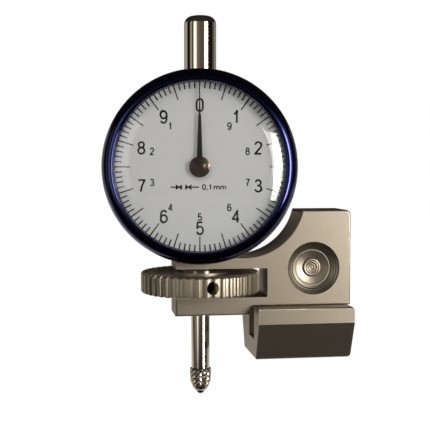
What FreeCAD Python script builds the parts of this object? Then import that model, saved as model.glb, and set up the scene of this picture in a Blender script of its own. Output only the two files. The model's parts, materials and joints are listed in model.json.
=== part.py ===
# Dial step gauge: a foot and plate held in the fingers carry a small dial gauge
# that measures how far a surface lies above or below the foot.
# Millimetres, +Z up. The origin is on the underside of the foot, at mid length,
# in the plane of the spindle. The dial faces -Y, turned a little towards -X.
import FreeCAD, Part
import math
import os

V = FreeCAD.Vector

# Foot
base_length = 22.7
base_height = 12.45
lip_height = 3.65
lip_front = 9.1
lip_back = 13.1
foot_front = 5.3
foot_back = 9.35
base_end_radius = 0.9
base_edge_break = 0.35
slot_floor_height = 4.4
spindle_to_base = 12.3

# Plate with two arms, its heights taken from the top of the foot
plate_thickness = 10.5
plate_height = 22.35
plate_corner_radius = 1.2
plate_edge_break = 0.45
arm_overhang = 6.4
arm_drop = 1.95
arm_slot_rise = 2.15
arm_slot_corner = 0.3
upper_arm_height = 2.6
upper_arm_flat = 9.6
hollow_radius = 14.0
shoulder_gap = 1.4
shoulder_radius = 0.9
tongue_thickness = 6.4
tongue_setback = 1.2
tongue_clearance = 0.03

# Finger dishes, one on each face of the plate
dish_from_end = 8.9
dish_rise = 8.75
dish_radius = 6.2
dish_depth = 2.4
dish_step_radius = 4.5
dish_step_width = 0.4
dish_step_depth = 0.12
dish_pip_radius = 2.0
dish_pip_height = 0.3
dish_mark_radius = 1.3
dish_mark_depth = 0.25

# Screws that hold the foot
base_screw_radius = 1.5
base_screw_spacing = 12.0
base_screw_length = 6.4
base_screw_head_radius = 2.75
base_screw_head_height = 2.0
base_screw_head_inset = 0.5
base_screw_key_radius = 1.0
base_screw_key_depth = 1.2

# Fits, gaps and small rounds
seat_clearance = 0.03
running_clearance = 0.03
pivot_clearance = 0.03
ring_clearance = 0.05
end_gap = 0.1
screw_clearance = 0.1
small_round = 0.15
edge_round = 0.3
cut_over = 1.0

# Gauge head
head_turn = -8.0
case_clearance = 0.37
case_radius = 20.5
case_wall = 1.8
case_front = 5.4
case_back = 6.2
case_corner = 0.5
neck_step = 0.65
neck_length = 1.8
neck_wall = 0.6
web_thickness = 1.1
web_front = 6.6
web_hole_radius = 2.0
boss_wall = 0.8
boss_depth_wall = 1.0
boss_reach = 4.1
lug_radius = 1.7
lug_inset = 3.3
lug_angle = 55.0

# Stem, bushes and cap
stem_radius = 4.0
stem_wall = 1.03
stem_inset = 0.3
stem_bore_gap = 0.47
lower_bush_length = 7.9
upper_bush_length = 2.6
cap_wall = 1.22
cap_gap = 0.37
cap_height_above_case = 14.4
cap_seat_depth = 2.75
cap_end_wall = 1.3
cap_shoulder = 1.9
cap_inner_round = 0.4

# Wheel
wheel_radius = 14.0
wheel_height = 4.8
wheel_side_gap = 1.0
wheel_end_gap = 1.1
rib_count = 45
groove_depth = 0.5
groove_share = 0.2
groove_shoulder = 0.35
wheel_edge_break = 0.7
wheel_rim_width = 2.4
wheel_recess_depth = 0.5
wheel_boss_radius = 6.2
wheel_end_play = 0.05
set_screw_radius = 1.5
set_screw_length = 5.0
set_screw_angle = 12.4
set_screw_key_radius = 0.85
set_screw_key_depth = 1.8

# Back cover
gasket_thickness = 0.3
gasket_width = 1.5
gasket_inset = 0.2
cover_thickness = 1.2
cover_edge_break = 0.5
cover_screw_radius = 0.8
cover_screw_head_radius = 1.5
cover_screw_head_height = 0.6
cover_screw_length = 4.5
slot_depth_share = 0.5
slot_width_share = 0.5

# Bezel, stepped out and in from the case
bezel_overhang = 1.5
bezel_rear = 5.7
bezel_skirt_overhang = 0.3
bezel_skirt_end = 6.9
bezel_wide_start = 7.9
bezel_wide_end = 9.7
bezel_front = 12.8
bezel_slope = 1.7
bezel_lip_width = 1.0
bezel_lip = 1.1
bezel_skirt_round = 0.2
bezel_nose_radius = 0.45
bezel_bevel_radius = 0.9
bezel_wire_radius = 0.22
bezel_wire_y = 6.3
bezel_wire_gap_angle = 8.0
crystal_gasket_thickness = 0.3
crystal_thickness = 1.0
crystal_dome = 1.2
crystal_rim_gap = 0.2
spacer_length = 2.3
dial_thickness = 0.4
retainer_thickness = 0.35
retainer_width = 1.25
dial_hole_radius = 1.7

# Spindle and contact point
spindle_radius = 2.13
spindle_travel = 10.0
spindle_top_clearance = 1.0
spindle_top_round = 0.4
contact_drop = 8.84
contact_length = 6.25
contact_top_radius = 2.3
contact_radius = 2.58
contact_chamfer = 0.25
contact_grip_length = 3.15
contact_grip_end_radius = 2.42
contact_nose_radius = 1.95
contact_nose_height = 1.93
contact_collar_radius = 1.33
contact_collar_height = 1.0
contact_stud_radius = 1.2
contact_stud_length = 4.5
contact_stud_root = 0.5
ball_radius = 1.0
ball_clearance = 0.02

# Rack and gears
turn_travel = 10.0
pinion_teeth = 16
pinion_width = 2.3
rack_reach = 0.2
gear_module = 0.25
transfer_teeth = 24
centre_teeth = 24
takeup_teeth = 40
gear_thickness = 0.7
gear_hub_wall = 0.8
gear_hub_height = 0.5
window_count = 4
window_reach_share = 0.56
window_radius_share = 0.22
backlash = 0.05
pressure_angle = 20.0
addendum = 0.9
dedendum = 1.2
takeup_angle = -30.0
arbor_radius = 0.7
pivot_radius = 0.35
pivot_end_gap = 0.05
centre_arbor_radius = 0.5
transfer_drop = 5.11

# Movement plates
movement_plate_thickness = 0.8
gear_gap = 0.4
cock_gap = 0.5
cock_thickness = 0.6
cock_width = 2.4
cock_foot_x = -4.7
cock_foot_rise = 0.95
rear_plate_y = 3.0
plate_left = 11.2
plate_right = 13.2
plate_above = 2.1
plate_below = 10.9
plate_round = 1.6
pillar_radius = 1.2
pillar_inset = 1.6
pillar_stud_radius = 0.6
stud_end_gap = 0.2
movement_screw_radius = 0.6
movement_screw_head_radius = 1.1
movement_screw_head_height = 0.6
movement_screw_length = 2.4

# Guide and springs
guide_pin_radius = 0.6
guide_pin_right = 5.0
guide_start = 3.0
guide_width = 3.0
guide_depth_front = 1.2
guide_depth_behind = 1.6
guide_foot_height = 4.5
guide_slot_end = 5.25
guide_slot_clearance = 0.04
guide_wall = 0.6
guide_top_gap = 0.25
spring_x = -6.6
spring_radius = 1.0
spring_wire_radius = 0.18
spring_coils = 8
spring_post_inset = 7.1
spring_post_radius = 0.55
spring_post_stud_radius = 0.385
spring_eye_clearance = 0.06
spring_post_length = 6.8
spring_pin_reach = 0.72
hairspring_turns = 3.0
hairspring_steps_per_turn = 12
hairspring_inner = 0.95
hairspring_outer = 3.1
hairspring_strip = 0.14
hairspring_height = 0.5
hairspring_y = -1.7
hairspring_stud_radius = 0.4
hairspring_stud_reach = 0.3

# Pointer
pointer_gap = 0.8
pointer_root_width = 1.1
pointer_tip_width = 0.45
pointer_thickness = 0.2
pointer_lift = 1.3
pointer_boss_radius = 1.5
pointer_hub_radius = 2.34
pointer_hub_height = 0.5
pointer_hub_round = 0.2
pointer_hub_bore_depth = 0.25

# Places that follow from the sizes above
axis_x = -(spindle_to_base + base_length / 2)
plate_half = plate_thickness / 2
tongue_half = tongue_thickness / 2
plate_end = spindle_to_base + base_length
plate_top = base_height + plate_height
dish_height = base_height + dish_rise
arm_bottom = base_height - arm_drop
arm_slot_bottom = base_height + arm_slot_rise
arm_slot_top = arm_slot_bottom + wheel_height + 2 * wheel_side_gap
arm_slot_end = wheel_radius + wheel_end_gap
arm_top = arm_slot_top + upper_arm_height
wheel_z = (arm_slot_bottom + arm_slot_top) / 2
dial_z = arm_top + case_clearance + case_radius
case_top = dial_z + case_radius
neck_radius = case_radius - neck_step
lug_circle = case_radius - lug_inset
boss_half_width = stem_radius + boss_wall
boss_half_depth = stem_radius + boss_depth_wall
bush_radius = stem_radius - stem_wall
stem_bore = spindle_radius + stem_bore_gap
cap_bore = spindle_radius + cap_gap
cap_radius = cap_bore + cap_wall
cap_seat_z = case_top - cap_seat_depth
cap_top = case_top + cap_height_above_case
upper_boss_bottom = cap_seat_z - upper_bush_length
web_back = web_front - web_thickness
cover_y = case_back + gasket_thickness
stem_top = dial_z - case_radius + boss_reach
stem_bottom = arm_bottom + stem_inset
bezel_radius = case_radius + bezel_overhang
bezel_skirt_radius = case_radius + bezel_skirt_overhang
bezel_face_radius = bezel_radius - bezel_slope
bezel_bore = neck_radius + ring_clearance
bezel_opening = bezel_bore - bezel_lip_width
ring_radius = bezel_bore - ring_clearance
crystal_y = bezel_front - bezel_lip - crystal_gasket_thickness
spacer_y = crystal_y - crystal_thickness
dial_y = spacer_y - spacer_length
retainer_y = dial_y - dial_thickness
gear_y = -web_back + movement_plate_thickness + gear_gap
cock_y = gear_y + gear_thickness + cock_gap
pinion_pitch = turn_travel / (2 * math.pi)
pinion_module = 2 * pinion_pitch / pinion_teeth
transfer_pitch = gear_module * transfer_teeth / 2
centre_pitch = gear_module * centre_teeth / 2
takeup_pitch = gear_module * takeup_teeth / 2
gear_distance = transfer_pitch + centre_pitch
transfer_x = -math.sqrt(gear_distance ** 2 - transfer_drop ** 2)
transfer_z = dial_z - transfer_drop
rack_pitch_x = transfer_x + pinion_pitch
takeup_x = (centre_pitch + takeup_pitch) * math.cos(math.radians(takeup_angle))
takeup_z = dial_z + (centre_pitch + takeup_pitch) * math.sin(math.radians(takeup_angle))
guide_top = upper_boss_bottom - guide_top_gap
guide_slot_top = guide_top - guide_wall
guide_pin_z = guide_slot_top - end_gap - guide_pin_radius - spindle_travel
guide_slot_bottom = guide_pin_z - guide_pin_radius - end_gap
spring_post_z = dial_z - case_radius + spring_post_inset
contact_top = contact_length - contact_drop
pointer_length = bezel_opening - pointer_gap
pointer_y = -dial_y - pointer_lift
hub_y = pointer_y - pointer_thickness


# Shapes that are used again and again

def cyl_y(radius, y0, y1, x=0.0, z=dial_z):
    return Part.makeCylinder(radius, y1 - y0, V(x, y0, z), V(0, 1, 0))


def cyl_z(radius, z0, z1, x=0.0, y=0.0):
    return Part.makeCylinder(radius, z1 - z0, V(x, y, z0), V(0, 0, 1))


def cyl_x(radius, x0, x1, y, z):
    return Part.makeCylinder(radius, x1 - x0, V(x0, y, z), V(1, 0, 0))


def block(x0, x1, y0, y1, z0, z1):
    return Part.makeBox(x1 - x0, y1 - y0, z1 - z0, V(x0, y0, z0))


def ring_y(outer, inner, y0, y1):
    return cyl_y(outer, y0, y1).cut(cyl_y(inner, y0 - cut_over, y1 + cut_over))


# The three points of the arc that rounds one corner, or the corner itself
def corner_arc(before, here, after):
    corner = V(here[0], here[1], 0)
    radius = here[2]
    if radius <= 0:
        return corner, None, corner
    back = V(before[0], before[1], 0).sub(corner).normalize()
    ahead = V(after[0], after[1], 0).sub(corner).normalize()
    half = back.getAngle(ahead) / 2
    run = radius / math.tan(half)
    inward = back.add(ahead).normalize()
    centre = corner.add(inward * (radius / math.sin(half)))
    return corner.add(back * run), centre.sub(inward * radius), corner.add(ahead * run)


# A closed outline from corners (u, v, radius), set in space by the function place
def outline(corners, place):
    count = len(corners)
    arcs = []
    for i in range(count):
        arcs.append(corner_arc(corners[i - 1], corners[i], corners[(i + 1) % count]))
    edges = []
    for i in range(count):
        first, middle, last = arcs[i]
        if middle is not None:
            edges.append(Part.Arc(place(first), place(middle), place(last)).toShape())
        following = arcs[(i + 1) % count][0]
        if last.sub(following).Length > 1e-6:
            edges.append(Part.LineSegment(place(last), place(following)).toShape())
    return Part.Wire(edges)


# A flat plate in the XZ plane, from y0 to y1
def plate_xz(corners, y0, y1):
    wire = outline(corners, lambda p: V(p.x, y0, p.y))
    return Part.Face(wire).extrude(V(0, y1 - y0, 0))


# A solid of revolution about the dial axis, from corners (radius, y, round)
def turned_about_dial(corners):
    wire = outline(corners, lambda p: V(p.x, p.y, dial_z))
    return Part.Face(wire).revolve(V(0, 0, dial_z), V(0, 1, 0), 360)


# A solid of revolution about the spindle axis, from corners (radius, z, round)
def turned_about_spindle(corners):
    wire = outline(corners, lambda p: V(p.x, 0, p.y))
    return Part.Face(wire).revolve(V(0, 0, 0), V(0, 0, 1), 360)


def fused(shapes):
    return shapes[0].multiFuse(shapes[1:]).removeSplitter()


# Edges that lie wholly in a plane of constant x, y or z
def edges_in_plane(shape, axis, value):
    found = []
    for edge in shape.Edges:
        box = edge.BoundBox
        low = getattr(box, axis + "Min")
        high = getattr(box, axis + "Max")
        if abs(low - value) < 1e-4 and abs(high - value) < 1e-4:
            found.append(edge)
    return found


# Frame

def dish(face_y, sign):
    sphere_radius = (dish_radius ** 2 + dish_depth ** 2) / (2 * dish_depth)

    def depth_at(radius):
        drop = math.sqrt(sphere_radius ** 2 - radius ** 2) - (sphere_radius - dish_depth)
        return drop

    def spot(radius, depth):
        return V(radius, face_y + sign * depth, 0)

    step_in = dish_step_radius - dish_step_width
    step_floor = depth_at(step_in) + dish_step_depth
    pip_floor = depth_at(dish_pip_radius)
    pip_top = pip_floor - dish_pip_height
    mark = pip_top + dish_mark_depth
    corners = [
        spot(dish_step_radius, depth_at(dish_step_radius)),
        spot(dish_step_radius, step_floor),
        spot(step_in, step_floor)]
    floor = [
        spot(dish_pip_radius, pip_floor),
        spot(dish_pip_radius, pip_top),
        spot(dish_mark_radius, pip_top),
        spot(0, mark),
        spot(0, -cut_over),
        spot(dish_radius, -cut_over),
        spot(dish_radius, 0)]
    brim = (dish_radius + dish_step_radius) / 2
    edges = [Part.Arc(
        spot(dish_radius, 0),
        spot(brim, depth_at(brim)),
        spot(dish_step_radius, depth_at(dish_step_radius))).toShape()]
    edges += Part.makePolygon(corners).Edges
    middle = (step_in + dish_pip_radius) / 2
    edges.append(Part.Arc(
        spot(step_in, step_floor),
        spot(middle, depth_at(middle)),
        spot(dish_pip_radius, pip_floor)).toShape())
    edges += Part.makePolygon(floor).Edges
    wire = Part.Wire(Part.__sortEdges__(edges))
    solid = Part.Face(wire).revolve(V(0, 0, 0), V(0, 1, 0), 360)
    solid.translate(V(plate_end - dish_from_end, 0, dish_height))
    return solid


def frame_plate():
    shoulder = spindle_to_base - shoulder_gap
    hollow_z = arm_top + hollow_radius
    corners = [
        (-arm_overhang, arm_bottom, 0),
        (shoulder, arm_bottom, 0),
        (shoulder, base_height, shoulder_radius),
        (plate_end, base_height, 0),
        (plate_end, plate_top, plate_corner_radius),
        (upper_arm_flat, plate_top, 0),
        (upper_arm_flat, arm_top, 0),
        (-arm_overhang, arm_top, 0)]
    body = plate_xz(corners, -plate_half, plate_half)
    body = body.cut(cyl_y(hollow_radius, -plate_half - cut_over, plate_half + cut_over, upper_arm_flat, hollow_z))
    rims = edges_in_plane(body, "Y", -plate_half) + edges_in_plane(body, "Y", plate_half)
    body = body.makeFillet(plate_edge_break, [e for e in rims if not on_foot(e)])
    slot = plate_xz([
        (-arm_overhang - cut_over, arm_slot_bottom, 0),
        (arm_slot_end, arm_slot_bottom, arm_slot_corner),
        (arm_slot_end, arm_slot_top, arm_slot_corner),
        (-arm_overhang - cut_over, arm_slot_top, 0)], -plate_half - cut_over, plate_half + cut_over)
    tongue = block(
        spindle_to_base + tongue_setback, plate_end, -tongue_half, tongue_half,
        slot_floor_height, base_height + cut_over)
    bore = cyl_z(stem_radius + running_clearance, arm_bottom - cut_over, arm_top + cut_over)
    body = body.fuse(tongue).removeSplitter()
    body = body.cut(slot).cut(bore)
    body = body.cut(dish(-plate_half, 1)).cut(dish(plate_half, -1))
    for x in base_screw_places():
        body = body.cut(cyl_z(base_screw_radius + seat_clearance, slot_floor_height - cut_over,
                              slot_floor_height + base_screw_length, x))
    return body


# True for the lower rim edge that lies on the foot and stays sharp
def on_foot(edge):
    low = edge.BoundBox.ZMin
    high = edge.BoundBox.ZMax
    return abs(high - base_height) < 1e-4 and abs(low - base_height) < 1e-4


def base_screw_places():
    middle = spindle_to_base + base_length / 2
    return [middle - base_screw_spacing / 2, middle + base_screw_spacing / 2]


def base_block():
    slot = tongue_half + tongue_clearance
    side = outline([
        (-lip_front, base_height - lip_height, 0),
        (-lip_front, base_height, base_edge_break),
        (-slot, base_height, 0),
        (-slot, slot_floor_height, 0),
        (slot, slot_floor_height, 0),
        (slot, base_height, 0),
        (lip_back, base_height, base_edge_break),
        (lip_back, base_height - lip_height, 0),
        (foot_back, 0, base_edge_break),
        (-foot_front, 0, base_edge_break)], lambda p: V(spindle_to_base, p.x, p.y))
    body = Part.Face(side).extrude(V(base_length, 0, 0))
    ends = [
        (spindle_to_base, 0, base_edge_break),
        (spindle_to_base + base_length, 0, base_end_radius),
        (spindle_to_base + base_length, base_height, base_end_radius),
        (spindle_to_base, base_height, base_edge_break)]
    body = body.common(plate_xz(ends, -lip_front - cut_over, lip_back + cut_over))
    counterbore = base_screw_head_height + base_screw_head_inset
    for x in base_screw_places():
        body = body.cut(cyl_z(base_screw_radius + screw_clearance, -cut_over, base_height, x))
        body = body.cut(cyl_z(base_screw_head_radius + screw_clearance, -cut_over, counterbore, x))
    return body


def base_screws():
    screws = []
    start = base_screw_head_inset
    under_head = start + base_screw_head_height
    for x in base_screw_places():
        head = cyl_z(base_screw_head_radius, start, under_head, x)
        shank = cyl_z(base_screw_radius, under_head, under_head + base_screw_length, x)
        key = hexagon_z(base_screw_key_radius, start - cut_over, start + base_screw_key_depth, x)
        screws.append(head.fuse(shank).cut(key).removeSplitter())
    return screws


def hexagon_z(radius, z0, z1, x):
    points = []
    for i in range(7):
        turn = math.radians(60 * i)
        points.append(V(x + radius * math.cos(turn), radius * math.sin(turn), z0))
    return Part.Face(Part.makePolygon(points)).extrude(V(0, 0, z1 - z0))


# Wheel and stem

def wheel_rim():
    pitch = 2 * math.pi / rib_count
    groove = pitch * groove_share / 4
    root = wheel_radius - groove_depth
    shoulder = root + groove_depth * groove_shoulder
    half = wheel_height / 2
    edges = []

    def spot(radius, turn):
        return V(radius * math.cos(turn), radius * math.sin(turn), wheel_z - half)

    for i in range(rib_count):
        start = i * pitch
        first = spot(shoulder, start + groove)
        last = spot(shoulder, start + pitch - groove)
        after = spot(shoulder, start + pitch + groove)
        edges.append(Part.Arc(first, spot(wheel_radius, start + pitch / 2), last).toShape())
        edges.append(Part.Arc(last, spot(root, start + pitch), after).toShape())
    rim = Part.Face(Part.Wire(edges)).extrude(V(0, 0, wheel_height))
    broken = wheel_radius - wheel_edge_break
    cone = turned_about_spindle([
        (0, wheel_z - half, 0),
        (broken, wheel_z - half, 0),
        (wheel_radius + seat_clearance, wheel_z - half + wheel_edge_break, 0),
        (wheel_radius + seat_clearance, wheel_z + half - wheel_edge_break, 0),
        (broken, wheel_z + half, 0),
        (0, wheel_z + half, 0)])
    return rim.common(cone)


def knurled_wheel():
    half = wheel_height / 2
    body = wheel_rim()
    for side in (1, -1):
        face = wheel_z + side * half
        floor = face - side * wheel_recess_depth
        low, high = sorted((face + side, floor))
        recess = cyl_z(wheel_radius - wheel_rim_width, low, high)
        recess = recess.cut(cyl_z(wheel_boss_radius, low - cut_over, high + cut_over))
        body = body.cut(recess)
    boss = cyl_z(wheel_boss_radius, arm_slot_bottom + wheel_end_play, arm_slot_top - wheel_end_play)
    body = body.fuse(boss)
    body = body.cut(cyl_z(stem_radius + seat_clearance, arm_slot_bottom - cut_over, arm_slot_top + cut_over))
    body = body.cut(set_screw_hole())
    return body.removeSplitter()


def radial_rod(radius, start, end):
    turn = math.radians(set_screw_angle)
    direction = V(math.sin(turn), -math.cos(turn), 0)
    origin = V(0, 0, wheel_z).add(direction * start)
    return Part.makeCylinder(radius, end - start, origin, direction)


def set_screw_hole():
    return radial_rod(set_screw_radius + seat_clearance, 0, wheel_radius + cut_over)


def wheel_set_screw():
    start = stem_radius + seat_clearance
    end = start + set_screw_length
    body = radial_rod(set_screw_radius, 0, end)
    key = radial_rod(set_screw_key_radius, end - set_screw_key_depth, end + cut_over)
    body = body.cut(key)
    return body.cut(cyl_z(start + seat_clearance, arm_slot_bottom, arm_slot_top))


def stem():
    body = turned_about_spindle([
        (bush_radius + seat_clearance, stem_bottom, 0),
        (stem_radius, stem_bottom, edge_round),
        (stem_radius, stem_top, 0),
        (stem_bore, stem_top, 0),
        (stem_bore, stem_bottom + lower_bush_length, 0),
        (bush_radius + seat_clearance, stem_bottom + lower_bush_length, 0)])
    return body


def bush(z0, length):
    bore = spindle_radius + running_clearance
    return turned_about_spindle([
        (bore, z0, small_round),
        (bush_radius, z0, small_round),
        (bush_radius, z0 + length, small_round),
        (bore, z0 + length, small_round)])


def spindle_cap():
    return turned_about_spindle([
        (cap_bore, cap_seat_z, 0),
        (cap_radius, cap_seat_z, small_round),
        (cap_radius, cap_top, cap_shoulder),
        (0, cap_top, 0),
        (0, cap_top - cap_end_wall, 0),
        (cap_bore, cap_top - cap_end_wall, cap_inner_round)])


# Case

def lug_places():
    places = []
    for turn in (lug_angle, 180 - lug_angle, 180 + lug_angle, -lug_angle):
        x = lug_circle * math.cos(math.radians(turn))
        z = dial_z + lug_circle * math.sin(math.radians(turn))
        places.append((x, z))
    return places


def case_body():
    shell = turned_about_dial([
        (0, -web_front, 0),
        (neck_radius - neck_wall, -web_front, 0),
        (neck_radius - neck_wall, -case_front - neck_length, 0),
        (neck_radius, -case_front - neck_length, small_round),
        (neck_radius, -case_front, 0),
        (case_radius, -case_front, edge_round),
        (case_radius, case_back, 0),
        (case_radius - case_wall, case_back, 0),
        (case_radius - case_wall, -web_back, case_corner),
        (0, -web_back, 0)])
    inside = cyl_y(case_radius - case_wall / 2, -web_back, case_back)
    lower = block(-boss_half_width, boss_half_width, -web_back, boss_half_depth,
                  dial_z - case_radius, stem_top).common(inside)
    upper = block(-boss_half_width, boss_half_width, -web_back, boss_half_depth,
                  upper_boss_bottom, case_top).common(inside)
    pieces = [shell, lower, upper]
    for x, z in lug_places():
        pieces.append(cyl_y(lug_radius, -web_back, case_back, x, z))
    body = fused(pieces)
    body = body.cut(cyl_z(stem_radius + seat_clearance, dial_z - case_radius - cut_over, stem_top + cut_over))
    body = body.cut(cyl_z(bush_radius + seat_clearance, upper_boss_bottom - cut_over, cap_seat_z))
    body = body.cut(cyl_z(cap_radius + seat_clearance, cap_seat_z, case_top + cut_over))
    body = body.cut(cyl_y(web_hole_radius, -web_front - cut_over, -web_back + cut_over))
    body = body.cut(bezel_wire(bezel_wire_radius + seat_clearance, 360))
    for x, z in lug_places():
        hole = cover_screw_radius + seat_clearance
        body = body.cut(cyl_y(hole, case_back - cover_screw_length, case_back + cut_over, x, z))
    for x, z in pillar_places():
        body = body.cut(cyl_y(pillar_stud_radius + seat_clearance, -web_front - cut_over, -web_back + cut_over, x, z))
    return body.cut(cyl_y(spring_post_stud_radius + seat_clearance, -web_front - cut_over,
                          -web_back + cut_over, spring_x, spring_post_z))


def back_gasket():
    outer = case_radius - gasket_inset
    body = ring_y(outer, outer - gasket_width, case_back, cover_y)
    ears = []
    for x, z in lug_places():
        ears.append(cyl_y(lug_radius, case_back, cover_y, x, z))
    body = fused([body] + ears)
    for x, z in lug_places():
        body = body.cut(cyl_y(cover_screw_radius + screw_clearance, case_back - cut_over,
                              cover_y + cut_over, x, z))
    return body


def back_cover():
    body = turned_about_dial([
        (0, cover_y, 0),
        (case_radius, cover_y, small_round),
        (case_radius, cover_y + cover_thickness, cover_edge_break),
        (0, cover_y + cover_thickness, 0)])
    seat = cover_y + cover_thickness - cover_screw_head_height
    for x, z in lug_places():
        hole = cyl_y(cover_screw_radius + screw_clearance, cover_y - cut_over, seat + cut_over, x, z)
        counterbore = cyl_y(cover_screw_head_radius + screw_clearance, seat, seat + cut_over, x, z)
        body = body.cut(hole).cut(counterbore)
    return body


def back_cover_screws():
    screws = []
    seat = cover_y + cover_thickness - cover_screw_head_height
    length = seat - case_back + cover_screw_length - end_gap
    for x, z in lug_places():
        screws.append(slotted_screw(x, z, seat, cover_screw_head_height, cover_screw_head_radius,
                                    cover_screw_radius, length))
    return screws


# A cheese-head screw along Y whose head stands towards the back
def slotted_screw(x, z, seat, head_height, head_radius, radius, length):
    head = cyl_y(head_radius, seat, seat + head_height, x, z)
    shank = cyl_y(radius, seat - length, seat, x, z)
    half = radius * slot_width_share / 2
    slot = block(x - head_radius - cut_over, x + head_radius + cut_over,
                 seat + head_height * slot_depth_share, seat + head_height + cut_over, z - half, z + half)
    return head.fuse(shank).cut(slot).removeSplitter()


# Bezel

def bezel_wire(wire_radius, sweep):
    return Part.makeTorus(neck_radius, wire_radius, V(0, -bezel_wire_y, dial_z), V(0, 1, 0), 0, 360, sweep)


def bezel_ring():
    lip_y = -bezel_front + bezel_lip
    body = turned_about_dial([
        (bezel_bore, -bezel_rear, small_round),
        (bezel_skirt_radius, -bezel_rear, bezel_skirt_round),
        (bezel_skirt_radius, -bezel_skirt_end, 0),
        (bezel_radius, -bezel_wide_start, edge_round),
        (bezel_radius, -bezel_wide_end, bezel_bevel_radius),
        (bezel_face_radius, -bezel_front, bezel_bevel_radius),
        (bezel_opening, -bezel_front, bezel_nose_radius),
        (bezel_opening, lip_y, 0),
        (bezel_bore, lip_y, 0)])
    return body.cut(bezel_wire(bezel_wire_radius + ring_clearance, 360))


# One face of the domed crystal: an arc from its rim to its middle
def crystal_arc(rim, rim_y):
    dome_radius = (rim ** 2 + crystal_dome ** 2) / (2 * crystal_dome)
    half_rise = math.sqrt(dome_radius ** 2 - (rim / 2) ** 2) - (dome_radius - crystal_dome)
    return Part.Arc(V(rim, rim_y, dial_z), V(rim / 2, rim_y - half_rise, dial_z),
                    V(0, rim_y - crystal_dome, dial_z)).toShape()


def crystal():
    rim = bezel_opening - crystal_rim_gap
    front = crystal_arc(rim, -crystal_y)
    back = crystal_arc(rim, -spacer_y)
    around = Part.makePolygon([
        V(rim, -crystal_y, dial_z),
        V(ring_radius, -crystal_y, dial_z),
        V(ring_radius, -spacer_y, dial_z),
        V(rim, -spacer_y, dial_z)])
    middle = Part.makePolygon([V(0, -crystal_y - crystal_dome, dial_z), V(0, -spacer_y - crystal_dome, dial_z)])
    wire = Part.Wire(Part.__sortEdges__([front, back] + around.Edges + middle.Edges))
    return Part.Face(wire).revolve(V(0, 0, dial_z), V(0, 1, 0), 360)


def crystal_gasket():
    return ring_y(ring_radius, bezel_opening + end_gap, -bezel_front + bezel_lip, -crystal_y)


def dial_spacer():
    return ring_y(ring_radius, bezel_opening, -spacer_y, -dial_y)


def dial_face():
    return ring_y(ring_radius, dial_hole_radius, -dial_y, -retainer_y)


def dial_retainer():
    return ring_y(ring_radius, ring_radius - retainer_width, -retainer_y, -retainer_y + retainer_thickness)


# Spindle

def rack_cut():
    pitch = turn_travel / pinion_teeth
    tip_x = rack_pitch_x - addendum * pinion_module
    root_x = rack_pitch_x + dedendum * pinion_module
    slope = math.tan(math.radians(pressure_angle))
    half = pitch / 4 + backlash / 4
    wide = half + slope * addendum * pinion_module
    narrow = half - slope * dedendum * pinion_module
    reach = pinion_pitch + rack_reach
    below = int(math.ceil((spindle_travel + reach) / pitch))
    above = int(math.ceil(reach / pitch))
    low = transfer_z - (below + 0.5) * pitch
    high = transfer_z + (above + 0.5) * pitch
    side = -spindle_radius - cut_over
    points = [(side, low), (tip_x, low)]
    for i in range(-below, above + 1):
        z = transfer_z + i * pitch
        points.append((tip_x, z - wide))
        points.append((root_x, z - narrow))
        points.append((root_x, z + narrow))
        points.append((tip_x, z + wide))
    points += [(tip_x, high), (side, high)]
    corners = [V(x, side, z) for x, z in points]
    face = Part.Face(Part.makePolygon(corners + corners[:1]))
    return face.extrude(V(0, -2 * side, 0))


def rack_spindle():
    top = cap_top - cap_end_wall - spindle_travel - spindle_top_clearance
    body = turned_about_spindle([
        (0, contact_top, 0),
        (spindle_radius, contact_top, small_round),
        (spindle_radius, top, spindle_top_round),
        (0, top, 0)])
    body = body.cut(rack_cut())
    body = body.cut(cyl_z(contact_stud_radius + seat_clearance, contact_top - cut_over,
                          contact_top + contact_stud_length + end_gap))
    return body.cut(cyl_x(guide_pin_radius + seat_clearance, -spindle_radius - cut_over,
                          spindle_radius + cut_over, 0, guide_pin_z))


def contact_point():
    tip = -contact_drop
    collar = tip + contact_collar_height
    grip_end = contact_top - contact_grip_length
    straight = Part.makePolygon([
        V(contact_collar_radius, 0, collar),
        V(0, 0, collar),
        V(0, 0, contact_top),
        V(contact_top_radius, 0, contact_top),
        V(contact_radius, 0, contact_top - contact_chamfer),
        V(contact_grip_end_radius, 0, grip_end)])
    nose = Part.Arc(
        V(contact_grip_end_radius, 0, grip_end),
        V(contact_nose_radius, 0, tip + contact_nose_height),
        V(contact_collar_radius, 0, collar)).toShape()
    body = Part.Face(Part.Wire(straight.Edges + [nose])).revolve(V(0, 0, 0), V(0, 0, 1), 360)
    stud = cyl_z(contact_stud_radius, contact_top - contact_stud_root, contact_top + contact_stud_length)
    body = body.fuse(stud).removeSplitter()
    return body.cut(Part.makeSphere(ball_radius + ball_clearance, V(0, 0, tip + ball_radius)))


def contact_ball():
    return Part.makeSphere(ball_radius, V(0, 0, -contact_drop + ball_radius))


def guide_pin():
    return cyl_x(guide_pin_radius, spring_x - spring_pin_reach, guide_pin_right, 0, guide_pin_z)


# Gears

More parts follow.
